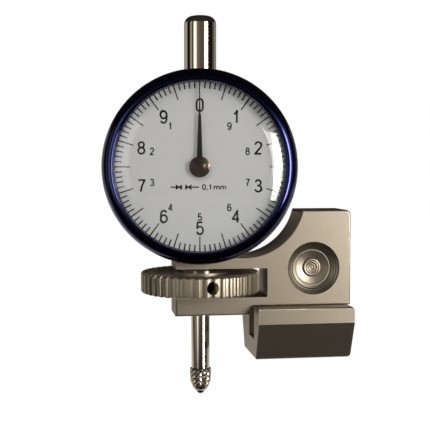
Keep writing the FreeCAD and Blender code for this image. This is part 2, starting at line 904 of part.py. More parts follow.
def gear_face(module, teeth, phase, y, x, z):
    pitch_r = module * teeth / 2
    base_r = pitch_r * math.cos(math.radians(pressure_angle))
    tip_r = pitch_r + addendum * module
    root_r = pitch_r - dedendum * module
    half = math.pi / (2 * teeth) - backlash / (4 * pitch_r)
    involute = math.tan(math.radians(pressure_angle)) - math.radians(pressure_angle)
    flank = []
    for radius in (max(base_r, root_r), (max(base_r, root_r) + pitch_r) / 2, pitch_r, tip_r):
        angle = math.acos(min(1.0, base_r / radius))
        flank.append((radius, half + involute - (math.tan(angle) - angle)))
    if root_r < base_r:
        flank.insert(0, (root_r, flank[0][1]))
    points = []
    for i in range(teeth):
        middle = phase + 2 * math.pi * i / teeth
        for radius, offset in flank:
            points.append((radius, middle - offset))
        for radius, offset in reversed(flank):
            points.append((radius, middle + offset))
    corners = [V(x + r * math.cos(a), y, z + r * math.sin(a)) for r, a in points]
    return Part.Face(Part.makePolygon(corners + corners[:1]))


def gear(module, teeth, phase, y0, thickness, x, z):
    return gear_face(module, teeth, phase, y0, x, z).extrude(V(0, thickness, 0))


# The phase of a gear that meshes with another of known phase, along a direction
def meshing_phase(direction, driver_pitch, driver_teeth, driver_phase, pitch, teeth):
    step = 2 * math.pi / driver_teeth
    lead = (driver_phase - direction) % step
    gap = direction + math.pi - lead * driver_pitch / pitch
    return gap + math.pi / teeth


def centre_phase():
    return math.atan2(transfer_z - dial_z, transfer_x)


def rack_pinion():
    y0 = -pinion_width / 2
    body = gear(pinion_module, pinion_teeth, 0, y0, pinion_width, transfer_x, transfer_z)
    return fused([body, arbor(transfer_x, transfer_z)])


# A shaft between the movement plates, with thin pivots that run in them
def arbor(x, z):
    rod = cyl_y(arbor_radius, gear_y - gear_gap + end_gap, rear_plate_y - end_gap, x, z)
    pivots = cyl_y(pivot_radius, -web_back + pivot_end_gap, rear_plate_y + movement_plate_thickness, x, z)
    return rod.fuse(pivots).removeSplitter()


def transfer_gear():
    phase = meshing_phase(centre_phase(), centre_pitch, centre_teeth, centre_phase(),
                          transfer_pitch, transfer_teeth)
    body = gear(gear_module, transfer_teeth, phase, gear_y, gear_thickness, transfer_x, transfer_z)
    back = gear_y + gear_thickness
    hub = cyl_y(arbor_radius + gear_hub_wall, back, back + gear_hub_height, transfer_x, transfer_z)
    bore = cyl_y(arbor_radius + seat_clearance, gear_y - cut_over, back + gear_hub_height + cut_over,
                 transfer_x, transfer_z)
    return body.fuse(hub).cut(bore)


def centre_arbor():
    shoulder = cock_y - end_gap
    rod = cyl_y(centre_arbor_radius, hub_y - pointer_hub_bore_depth, shoulder)
    pivot = cyl_y(pivot_radius, shoulder, cock_y + cock_thickness - pivot_end_gap)
    return rod.fuse(pivot).removeSplitter()


def centre_gear():
    body = gear(gear_module, centre_teeth, centre_phase(), gear_y, gear_thickness, 0, dial_z)
    return body.cut(cyl_y(centre_arbor_radius + seat_clearance, gear_y - cut_over, cock_y))


def takeup_gear():
    phase = meshing_phase(math.radians(takeup_angle), centre_pitch, centre_teeth, centre_phase(),
                          takeup_pitch, takeup_teeth)
    body = gear(gear_module, takeup_teeth, phase, gear_y, gear_thickness, takeup_x, takeup_z)
    reach = takeup_pitch * window_reach_share
    for i in range(window_count):
        turn = 2 * math.pi * (i + 0.5) / window_count
        body = body.cut(cyl_y(takeup_pitch * window_radius_share, gear_y - cut_over, cock_y,
                              takeup_x + reach * math.cos(turn), takeup_z + reach * math.sin(turn)))
    bore = cyl_y(arbor_radius + seat_clearance, gear_y - cut_over, cock_y, takeup_x, takeup_z)
    return body.cut(bore)


# Movement plates

def pillar_places():
    left = -plate_left + pillar_inset
    right = plate_right - pillar_inset
    low = dial_z - plate_below + pillar_inset
    high = dial_z + plate_above - pillar_inset
    return [(left, low), (left, high), (right, low), (right, high)]


def movement_outline():
    return [
        (-plate_left, dial_z - plate_below, plate_round),
        (plate_right, dial_z - plate_below, plate_round),
        (plate_right, dial_z + plate_above, plate_round),
        (-plate_left, dial_z + plate_above, plate_round)]


def pivot_hole(x, z):
    return cyl_y(pivot_radius + pivot_clearance, -web_front, cover_y, x, z)


def front_plate():
    body = plate_xz(movement_outline(), -web_back, -web_back + movement_plate_thickness)
    body = body.cut(pivot_hole(transfer_x, transfer_z))
    body = body.cut(pivot_hole(takeup_x, takeup_z))
    body = body.cut(cyl_y(centre_arbor_radius + pivot_clearance, -web_front, cock_y))
    for x, z in pillar_places():
        body = body.cut(cyl_y(pillar_stud_radius + seat_clearance, -web_front, cock_y, x, z))
    return body


def rear_plate():
    body = plate_xz(movement_outline(), rear_plate_y, rear_plate_y + movement_plate_thickness)
    body = body.cut(pivot_hole(transfer_x, transfer_z))
    body = body.cut(pivot_hole(takeup_x, takeup_z))
    for x, z in pillar_places():
        body = body.cut(cyl_y(movement_screw_radius + screw_clearance, 0, cover_y, x, z))
    return body


def plate_pillars():
    pillars = []
    for x, z in pillar_places():
        body = cyl_y(pillar_radius, -web_back + movement_plate_thickness, rear_plate_y, x, z)
        stud = cyl_y(pillar_stud_radius, -web_front + stud_end_gap, -web_back + movement_plate_thickness, x, z)
        hole = cyl_y(movement_screw_radius + seat_clearance, rear_plate_y - movement_screw_length,
                     rear_plate_y + cut_over, x, z)
        pillars.append(body.fuse(stud).cut(hole).removeSplitter())
    return pillars


def movement_screws():
    screws = []
    seat = rear_plate_y + movement_plate_thickness
    length = movement_plate_thickness + movement_screw_length - end_gap
    for x, z in pillar_places():
        screws.append(slotted_screw(x, z, seat, movement_screw_head_height, movement_screw_head_radius,
                                    movement_screw_radius, length))
    return screws


def centre_cock():
    foot_z = dial_z + cock_foot_rise
    reach = math.hypot(cock_foot_x, cock_foot_rise)
    arm = block(-cock_width / 2, cock_width / 2, cock_y, cock_y + cock_thickness, 0, reach)
    turn = math.degrees(math.atan2(cock_foot_x, cock_foot_rise))
    arm.rotate(V(0, 0, 0), V(0, 1, 0), turn)
    arm.translate(V(0, 0, dial_z))
    ends = [
        cyl_y(cock_width / 2, cock_y, cock_y + cock_thickness),
        cyl_y(cock_width / 2, -web_back + movement_plate_thickness, cock_y + cock_thickness,
              cock_foot_x, foot_z)]
    body = fused([arm] + ends)
    return body.cut(cyl_y(pivot_radius + pivot_clearance, cock_y - cut_over, cock_y + cock_thickness + cut_over))


# A slotted rail on a foot: the foot stands on the web, the rail clears the gears
def rack_guide():
    right = guide_start + guide_width
    rail = block(guide_start, right, -guide_depth_front, guide_depth_behind,
                 guide_slot_bottom - guide_wall, guide_top)
    foot = block(guide_start, right, -web_back, -guide_depth_front, guide_top - guide_foot_height, guide_top)
    half = guide_pin_radius + guide_slot_clearance
    slot = block(guide_start - cut_over, guide_slot_end, -half, half, guide_slot_bottom, guide_slot_top)
    return rail.fuse(foot).removeSplitter().cut(slot)


# Springs

def spring_post():
    body = cyl_y(spring_post_radius, -web_back, -web_back + spring_post_length, spring_x, spring_post_z)
    stud = cyl_y(spring_post_stud_radius, -web_front + stud_end_gap, -web_back, spring_x, spring_post_z)
    return body.fuse(stud).removeSplitter()


def return_spring():
    wire = spring_wire_radius
    lower_eye = spring_post_radius + spring_eye_clearance + wire
    upper_eye = guide_pin_radius + spring_eye_clearance + wire
    low = spring_post_z + lower_eye
    high = guide_pin_z - upper_eye
    pitch = (high - low) / spring_coils
    helix = Part.makeHelix(pitch, high - low, spring_radius)
    start = Part.Wire(Part.makeCircle(wire, V(spring_radius, 0, 0), V(0, 1, 0)))
    coils = Part.Wire(helix).makePipeShell([start], True, True)
    coils.translate(V(spring_x, 0, low))
    eye_low = Part.makeTorus(lower_eye, wire, V(spring_x, 0, spring_post_z), V(0, 1, 0))
    eye_high = Part.makeTorus(upper_eye, wire, V(spring_x, 0, guide_pin_z), V(1, 0, 0))
    arm_low = cyl_x(wire, spring_x, spring_x + spring_radius, 0, low)
    arm_high = cyl_x(wire, spring_x, spring_x + spring_radius, 0, high)
    return [coils, eye_low, eye_high, arm_low, arm_high]


def hairspring():
    steps = int(hairspring_turns * hairspring_steps_per_turn)

    def spiral(offset):
        points = []
        for i in range(steps + 1):
            share = i / steps
            turn = 2 * math.pi * hairspring_turns * share
            radius = hairspring_inner + (hairspring_outer - hairspring_inner) * share + offset
            points.append(V(takeup_x + radius * math.cos(turn), hairspring_y,
                            takeup_z + radius * math.sin(turn)))
        curve = Part.BSplineCurve()
        curve.interpolate(points)
        return curve.toShape(), points[0], points[-1]

    inner, inner_start, inner_end = spiral(-hairspring_strip / 2)
    outer, outer_start, outer_end = spiral(hairspring_strip / 2)
    closing = [
        Part.LineSegment(inner_end, outer_end).toShape(),
        Part.LineSegment(outer_start, inner_start).toShape()]
    wire = Part.Wire(Part.__sortEdges__([inner, outer] + closing))
    return Part.Face(wire).extrude(V(0, hairspring_height, 0))


def hairspring_stud():
    x = takeup_x + hairspring_outer + hairspring_strip / 2 + hairspring_stud_radius
    return cyl_y(hairspring_stud_radius, hairspring_y - hairspring_stud_reach, rear_plate_y, x, takeup_z)


# Pointer

def pointer():
    tip = pointer_tip_width / 2
    root = pointer_root_width / 2
    points = [
        V(-root, pointer_y, dial_z),
        V(-tip, pointer_y, dial_z + pointer_length),
        V(tip, pointer_y, dial_z + pointer_length),
        V(root, pointer_y, dial_z)]
    blade = Part.Face(Part.makePolygon(points + points[:1])).extrude(V(0, -pointer_thickness, 0))
    boss = cyl_y(pointer_boss_radius, hub_y, pointer_y)
    bore = cyl_y(centre_arbor_radius + seat_clearance, hub_y - cut_over, pointer_y + cut_over)
    return blade.fuse(boss).cut(bore).removeSplitter()


def pointer_hub():
    body = turned_about_dial([
        (0, hub_y, 0),
        (pointer_hub_radius, hub_y, 0),
        (pointer_hub_radius, hub_y - pointer_hub_height, pointer_hub_round),
        (0, hub_y - pointer_hub_height, 0)])
    floor = hub_y - pointer_hub_bore_depth - seat_clearance
    return body.cut(cyl_y(centre_arbor_radius + seat_clearance, floor, hub_y + cut_over))


# Place and write

def as_list(shape):
    if isinstance(shape, list):
        return shape
    return [shape]


def write(node, shape, turn):
    placed = []
    for solid in as_list(shape):
        copy = solid.copy()
        copy.rotate(V(0, 0, 0), V(0, 0, 1), turn)
        copy.translate(V(axis_x, 0, 0))
        placed.append(copy)
    whole = placed[0]
    if len(placed) > 1:
        whole = Part.makeCompound(placed)
    whole.exportStep(os.path.join("parts", node + ".step"))
    print(node, "solids", len(whole.Solids), "valid", whole.isValid(), "volume", round(whole.Volume, 3))


def main():
    os.makedirs("parts", exist_ok=True)
    fixed = {
        "frame_plate": frame_plate(),
        "base_block": base_block(),
        "base_screws": base_screws()}
    turned = {
        "knurled_wheel": knurled_wheel(),
        "wheel_set_screw": wheel_set_screw(),
        "stem": stem(),
        "lower_bush": bush(stem_bottom, lower_bush_length - end_gap),
        "upper_bush": bush(upper_boss_bottom, upper_bush_length),
        "spindle_cap": spindle_cap(),
        "case_body": case_body(),
        "back_gasket": back_gasket(),
        "back_cover": back_cover(),
        "back_cover_screws": back_cover_screws(),
        "front_plate": front_plate(),
        "rear_plate": rear_plate(),
        "plate_pillars": plate_pillars(),
        "movement_screws": movement_screws(),
        "centre_cock": centre_cock(),
        "rack_guide": rack_guide(),
        "spring_post": spring_post(),
        "return_spring": return_spring(),
        "hairspring": hairspring(),
        "hairspring_stud": hairspring_stud(),
        "bezel_spring": bezel_wire(bezel_wire_radius, 360 - bezel_wire_gap_angle),
        "bezel_ring": bezel_ring(),
        "crystal": crystal(),
        "crystal_gasket": crystal_gasket(),
        "dial_spacer": dial_spacer(),
        "dial_face": dial_face(),
        "dial_retainer": dial_retainer(),
        "rack_spindle": rack_spindle(),
        "contact_point": contact_point(),
        "contact_ball": contact_ball(),
        "guide_pin": guide_pin(),
        "rack_pinion": rack_pinion(),
        "transfer_gear": transfer_gear(),
        "centre_arbor": centre_arbor(),
        "centre_gear": centre_gear(),
        "pointer": pointer(),
        "pointer_hub": pointer_hub(),
        "takeup_arbor": arbor(takeup_x, takeup_z),
        "takeup_gear": takeup_gear()}
    for node, shape in fixed.items():
        write(node, shape, 0)
    for node, shape in turned.items():
        write(node, shape, head_turn)


main()
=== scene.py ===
import json
import math
import bmesh
import bpy
from mathutils import Matrix, Vector


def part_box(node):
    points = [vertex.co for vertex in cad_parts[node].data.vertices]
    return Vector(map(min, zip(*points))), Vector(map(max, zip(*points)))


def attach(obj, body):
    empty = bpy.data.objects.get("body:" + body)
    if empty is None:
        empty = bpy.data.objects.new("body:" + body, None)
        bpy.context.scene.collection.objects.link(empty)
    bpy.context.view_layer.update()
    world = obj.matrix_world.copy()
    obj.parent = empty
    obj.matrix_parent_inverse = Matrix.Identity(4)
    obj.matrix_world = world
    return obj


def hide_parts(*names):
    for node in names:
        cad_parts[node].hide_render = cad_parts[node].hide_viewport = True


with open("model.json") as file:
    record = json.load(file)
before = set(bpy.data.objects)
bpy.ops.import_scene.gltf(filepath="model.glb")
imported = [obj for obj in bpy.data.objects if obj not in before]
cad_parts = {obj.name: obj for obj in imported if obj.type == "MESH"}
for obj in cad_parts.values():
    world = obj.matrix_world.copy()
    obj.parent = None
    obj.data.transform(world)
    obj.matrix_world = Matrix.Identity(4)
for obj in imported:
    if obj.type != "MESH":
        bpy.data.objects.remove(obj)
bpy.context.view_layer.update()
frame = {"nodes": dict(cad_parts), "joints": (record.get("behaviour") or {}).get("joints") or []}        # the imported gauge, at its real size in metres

mm = 0.001
scene = bpy.context.scene
scene.view_settings.view_transform = "Standard"

joints = {joint["name"]: joint for joint in frame["joints"]}
dialCentre = Vector(joints["bezel_turn"]["pos_m"])
intoDial = Vector(joints["bezel_turn"]["axis"])
headTurn = math.atan2(-intoDial.x, intoDial.y)

# the head's own axes: Z up the spindle, Y into the dial
headPlace = Matrix.Translation((dialCentre.x, dialCentre.y, 0)) @ Matrix.Rotation(headTurn, 4, "Z")
# for what turns about the dial's axis: made flat with Z towards the eye, then stood up
dialPlace = headPlace @ Matrix.Translation((0, 0, dialCentre.z)) @ Matrix.Rotation(math.radians(90), 4, "X")
print("frame loaded, dial centre", tuple(dialCentre))


# Camera, at the photo's angle

cameraSettings = {
    "place": (-0.0504, -0.2091, 0.0450),
    "looksAlong": (0.1429, 0.9883, -0.0541),
    "lens": 75.2,
    "sensor": 36.0,
}


def makeCamera():
    data = bpy.data.cameras.new("camera")
    data.lens = cameraSettings["lens"]
    data.sensor_width = cameraSettings["sensor"]
    data.clip_start = 0.01
    data.clip_end = 10
    camera = bpy.data.objects.new("camera", data)
    scene.collection.objects.link(camera)
    camera.location = cameraSettings["place"]
    camera.rotation_euler = Vector(cameraSettings["looksAlong"]).to_track_quat("-Z", "Y").to_euler()
    scene.camera = camera


makeCamera()
toCamera = -Vector(cameraSettings["looksAlong"])
toCamera = Vector((toCamera.x, toCamera.y, 0)).normalized()
toRight = Vector((-toCamera.y, toCamera.x, 0))


# Small helpers

def linear(code):
    # an sRGB hex colour as the linear one that Blender works in
    parts = [int(code[i:i + 2], 16) / 255 for i in (1, 3, 5)]
    parts = [p / 12.92 if p <= 0.04045 else ((p + 0.055) / 1.055) ** 2.4 for p in parts]
    return (*parts, 1.0)


def addNode(tree, kind, settings=None, links=None):
    # one node, its settings by name or socket number, and what is plugged into it
    node = tree.nodes.new(kind)
    for name, value in (settings or {}).items():
        if name == "stops":
            ramp = node.color_ramp
            for i, (place, colour) in enumerate(value):
                stop = ramp.elements[i] if i < 2 else ramp.elements.new(place)
                stop.position = place
                stop.color = colour
        elif isinstance(name, int) or name in node.inputs:
            node.inputs[name].default_value = value
        else:
            setattr(node, name, value)
    for name, source in (links or {}).items():
        tree.links.new(source, node.inputs[name])
    return node


def newTree(name):
    material = bpy.data.materials.new(name)
    material.use_nodes = True
    material.node_tree.nodes.clear()
    return material, material.node_tree


def mixShaders(tree, share, first, second):
    both = addNode(tree, "ShaderNodeMixShader", {},
                   {0: share.outputs[0], 1: first.outputs[0], 2: second.outputs[0]})
    addNode(tree, "ShaderNodeOutputMaterial", {}, {"Surface": both.outputs[0]})


def finishShader(tree, settings, links):
    shader = addNode(tree, "ShaderNodeBsdfPrincipled", settings, links)
    addNode(tree, "ShaderNodeOutputMaterial", {}, {"Surface": shader.outputs[0]})


# Studio: two lamps at the right front, one that only what shines sees and one that only what is
# matt sees, then panels and black flags all round for what shines, and for what is matt a plain
# light from the camera's side

studioSettings = {
    "boxAzimuth": 46.0,       # degrees to the right of the camera, seen from the gauge
    "boxWidth": 17.0,         # degrees
    "boxHeight": 33.0,
    "boxDistance": 0.8,
    "boxBrightness": 20.0,    # as the shiny parts see it
    "keyAzimuth": 32.0,
    "keyBrightness": 8.5,     # as the matt parts see it
    "plainLevels": (0.14, 1.75),   # for matt parts, from the sides and from the camera's side
    "lampColour": (1.0, 0.985, 0.955),
    "floorHeight": -0.012,
    "floorGlow": (0.8, 1.2),       # share and strength of the white that the camera sees
    # panels round the horizon: from, to (degrees, right positive), brightness
    "panels": [
        (-180, -153, (0.08, 0.08, 0.08)),
        (-149, -107, (0.50, 0.47, 0.42)),
        (-104, -77, (0.010, 0.010, 0.010)),
        (-75, -61, (0.46, 0.42, 0.37)),
        (-59, -48, (0.06, 0.055, 0.05)),
        (-46, -26, (1.8, 1.75, 1.65)),
        (-24, -23.9, (0.30, 0.26, 0.22)),
        (0, 0.1, (0.14, 0.12, 0.10)),
        (12, 12.1, (0.12, 0.10, 0.085)),
        (28, 30, (0.14, 0.12, 0.10)),
        (33, 57, (1.6, 1.55, 1.45)),
        (60, 99, (0.010, 0.010, 0.010)),
        (103, 126, (0.16, 0.13, 0.11)),
        (129, 149, (0.50, 0.47, 0.42)),
        (153, 180, (0.08, 0.08, 0.08)),
    ],
    # over the panels it is dark, and behind the gauge the dark comes down to the horizon:
    # share of the turn, from behind round to behind, then the colour or the panels' top edge
    "above": [(0.0, (0.02, 0.02, 0.02)), (0.35, (0.035, 0.033, 0.03)),
              (0.65, (0.035, 0.033, 0.03)), (1.0, (0.02, 0.02, 0.02))],
    "below": [(0.0, (0.95, 0.92, 0.87)), (0.18, (0.80, 0.77, 0.72)), (0.28, (0.012, 0.010, 0.009)),
              (0.72, (0.012, 0.010, 0.009)), (0.82, (0.80, 0.77, 0.72)), (1.0, (0.95, 0.92, 0.87))],
    "topEdge": [(0.0, 0.0), (0.08, 0.0), (0.1, 0.25), (0.3, 0.34),
                (0.7, 0.34), (0.9, 0.25), (0.92, 0.0), (1.0, 0.0)],
    "topBlend": 0.08,
    "bottomBlend": (-0.13, -0.26),
}


def makeSoftBox(name, azimuth, brightness, shines):
    s = studioSettings
    side = math.radians(azimuth)
    away = toCamera * math.cos(side) + toRight * math.sin(side)
    data = bpy.data.lights.new(name, "AREA")
    data.shape = "RECTANGLE"
    data.size = 2 * s["boxDistance"] * math.tan(math.radians(s["boxWidth"] / 2))
    data.size_y = 2 * s["boxDistance"] * math.tan(math.radians(s["boxHeight"] / 2))
    data.energy = brightness * math.pi * data.size * data.size_y
    data.color = s["lampColour"]
    lamp = bpy.data.objects.new(name, data)
    lamp.visible_glossy = shines
    lamp.visible_diffuse = not shines
    scene.collection.objects.link(lamp)
    lamp.location = dialCentre + away * s["boxDistance"]
    lamp.rotation_euler = (-away).to_track_quat("-Z", "Y").to_euler()


def makeWorld():
    s = studioSettings
    world = bpy.data.worlds.new("studio")
    scene.world = world
    world.use_nodes = True
    world.cycles.sampling_method = "NONE"
    tree = world.node_tree
    tree.nodes.clear()
    direction = addNode(tree, "ShaderNodeTexCoord").outputs["Generated"]
    turn = math.atan2(toRight.y, toRight.x)
    turned = addNode(tree, "ShaderNodeVectorRotate", {"rotation_type": "Z_AXIS", "Angle": -turn},
                     {"Vector": direction})
    parts = addNode(tree, "ShaderNodeSeparateXYZ", {}, {"Vector": turned.outputs["Vector"]})
    height = parts.outputs["Z"]
    forward = addNode(tree, "ShaderNodeMath", {"operation": "MULTIPLY", 1: -1.0}, {0: parts.outputs["Y"]})
    angle = addNode(tree, "ShaderNodeMath", {"operation": "ARCTAN2"},
                    {0: parts.outputs["X"], 1: forward.outputs[0]})
    around = addNode(tree, "ShaderNodeMapRange", {"From Min": -math.pi, "From Max": math.pi},
                     {"Value": angle.outputs[0]})

    def ramp(stops):
        stops = [(place, (*colour, 1)) for place, colour in stops]
        return addNode(tree, "ShaderNodeValToRGB", {"stops": stops}, {"Fac": around.outputs["Result"]})

    def mixed(share, first, second):
        return addNode(tree, "ShaderNodeMix", {"data_type": "RGBA"}, {0: share, 6: first, 7: second}).outputs[2]

    # what shines sees panels round the horizon, the dark over them and what lies below
    horizon = ramp([((side + 180) / 360, colour) for *sides, colour in s["panels"] for side in sides])
    above = ramp(s["above"])
    below = ramp(s["below"])
    topEdge = ramp([(place, (height, height, height)) for place, height in s["topEdge"]])
    over = addNode(tree, "ShaderNodeMath", {"operation": "SUBTRACT"}, {0: height, 1: topEdge.outputs[0]})
    upper = addNode(tree, "ShaderNodeMapRange",
                    {"interpolation_type": "SMOOTHSTEP", "From Max": s["topBlend"]}, {"Value": over.outputs[0]})
    start, end = s["bottomBlend"]
    lower = addNode(tree, "ShaderNodeMapRange",
                    {"interpolation_type": "SMOOTHSTEP", "From Min": start, "From Max": end}, {"Value": height})
    sky = mixed(upper.outputs["Result"], horizon.outputs["Color"], above.outputs["Color"])
    room = mixed(lower.outputs["Result"], sky, below.outputs["Color"])

    # what is matt sees a plain light from the camera's side, and the camera sees white
    path = addNode(tree, "ShaderNodeLightPath")
    low, high = s["plainLevels"]
    plain = addNode(tree, "ShaderNodeMapRange",
                    {"interpolation_type": "SMOOTHSTEP", "From Min": 0.5, "To Min": low, "To Max": high},
                    {"Value": forward.outputs[0]})
    shiny = addNode(tree, "ShaderNodeMath", {"operation": "MAXIMUM"},
                    {0: path.outputs["Is Glossy Ray"], 1: path.outputs["Is Transmission Ray"]})
    lit = mixed(shiny.outputs[0], plain.outputs["Result"], room)
    seen = addNode(tree, "ShaderNodeMix", {"data_type": "RGBA", 7: (1, 1, 1, 1)},
                   {0: path.outputs["Is Camera Ray"], 6: lit})
    background = addNode(tree, "ShaderNodeBackground", {}, {"Color": seen.outputs[2]})
    addNode(tree, "ShaderNodeOutputWorld", {}, {"Surface": background.outputs[0]})


def makeFloor():
    # pale paper floor: white to the eye, with the gauge's soft shadow left on it
    material, tree = newTree("palePaper")
    paper = addNode(tree, "ShaderNodeBsdfDiffuse", {"Color": linear("#F0F0EE")})
    path = addNode(tree, "ShaderNodeLightPath")
    part, strength = studioSettings["floorGlow"]
    share = addNode(tree, "ShaderNodeMath", {"operation": "MULTIPLY", 1: part},
                    {0: path.outputs["Is Camera Ray"]})
    glow = addNode(tree, "ShaderNodeEmission", {"Color": (1, 1, 1, 1), "Strength": strength})
    mixShaders(tree, share, paper, glow)
    clearSelection()
    bpy.ops.mesh.primitive_plane_add(size=3.0, location=(0, 0, studioSettings["floorHeight"]))
    floor = bpy.context.object
    floor.name = "paperFloor"
    floor.data.materials.append(material)
    floor.visible_glossy = False    # what shines sees the lower half of the studio instead


# Hand work in edit mode

def clearSelection():
    if bpy.context.object and bpy.context.object.mode != "OBJECT":
        bpy.ops.object.mode_set(mode="OBJECT")
    bpy.ops.object.select_all(action="DESELECT")


def selectOnly(*pieces):
    # the first one becomes the active one
    clearSelection()
    for piece in pieces:
        piece.select_set(True)
    bpy.context.view_layer.objects.active = pieces[0]


def pickPoints(test):
    # select the points whose place passes the test, in millimetres
    mesh = bmesh.from_edit_mesh(bpy.context.object.data)
    for face in mesh.faces:
        face.select = False
    for edge in mesh.edges:
        edge.select = False
    for point in mesh.verts:
        point.select = bool(test(point.co / mm))
    mesh.select_flush(True)
    bmesh.update_edit_mesh(bpy.context.object.data)


def turnPiece(name, profile, steps=128, closed=True):
    # a lathe part: points of (radius, height, rounding) in mm, spun about Z
    clearSelection()
    bpy.ops.mesh.primitive_plane_add(size=mm)
    piece = bpy.context.object
    piece.name = piece.data.name = name
    bpy.ops.object.mode_set(mode="EDIT")
    bpy.ops.mesh.select_all(action="SELECT")
    bpy.ops.mesh.merge(type="CENTER")
    points = [Vector((p[0], 0, p[1])) * mm for p in profile]
    bpy.ops.transform.translate(value=points[0])
    for before, after in zip(points, points[1:]):
        bpy.ops.mesh.extrude_region_move(TRANSFORM_OT_translate={"value": after - before})
    for corner in profile:
        if len(corner) > 2:
            place = Vector((corner[0], 0, corner[1]))
            pickPoints(lambda co: (co - place).length < 0.001)
            bpy.ops.mesh.bevel(offset=corner[2] * mm, segments=4, profile=0.5, affect="VERTICES")
    if closed:
        ends = (Vector((profile[0][0], 0, profile[0][1])), Vector((profile[-1][0], 0, profile[-1][1])))
        if ends[0].x > 0.001 or ends[1].x > 0.001:
            pickPoints(lambda co: min((co - end).length for end in ends) < 0.001)
            bpy.ops.mesh.edge_face_add()
    bpy.ops.mesh.select_all(action="SELECT")
    bpy.ops.mesh.spin(steps=steps, angle=2 * math.pi, center=(0, 0, 0), axis=(0, 0, 1))
    bpy.ops.mesh.select_all(action="SELECT")
    bpy.ops.mesh.remove_doubles(threshold=0.0002 * mm)
    bpy.ops.mesh.normals_make_consistent(inside=False)
    bpy.ops.object.mode_set(mode="OBJECT")
    return piece


def cutWith(piece, cutter):
    cut = piece.modifiers.new("cut", "BOOLEAN")
    cut.object = cutter
    cut.operation = "DIFFERENCE"
    cut.solver = "EXACT"
    selectOnly(piece)
    bpy.ops.object.modifier_apply(modifier=cut.name)
    bpy.data.objects.remove(cutter)


def setPiece(piece, body, material, nodes=(), place=None, smooth=35, weighted=True):
    # into its place, smoothed, dressed, and tied to the body that carries it
    selectOnly(piece)
    if place is not None:
        piece.matrix_world = place @ piece.matrix_world
    bpy.ops.object.transform_apply(location=True, rotation=True, scale=True)
    bpy.ops.object.shade_smooth_by_angle(angle=math.radians(smooth))
    if weighted:
        even = piece.modifiers.new("evenNormals", "WEIGHTED_NORMAL")
        even.keep_sharp = True
        bpy.ops.object.modifier_apply(modifier=even.name)
    piece.data.materials.clear()
    piece.data.materials.append(material)
    for face in piece.data.polygons:
        face.material_index = 0
    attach(piece, body)
    if nodes:
        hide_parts(*nodes)
    return piece


def smoothCopy(node, name):
    # the CAD solid with its loose triangles joined and its flat ones made whole
    mesh = frame["nodes"][node].data.copy()
    piece = bpy.data.objects.new(name, mesh)
    scene.collection.objects.link(piece)
    selectOnly(piece)
    bpy.ops.object.mode_set(mode="EDIT")
    bpy.ops.mesh.select_all(action="SELECT")
    bpy.ops.mesh.remove_doubles(threshold=0.001 * mm)
    bpy.ops.mesh.dissolve_limited(angle_limit=math.radians(0.3))
    bpy.ops.object.mode_set(mode="OBJECT")
    return piece


makeSoftBox("softBox", studioSettings["boxAzimuth"], studioSettings["boxBrightness"], True)
makeSoftBox("keyLamp", studioSettings["keyAzimuth"], studioSettings["keyBrightness"], False)
makeWorld()
makeFloor()
print("studio set up")


# Materials

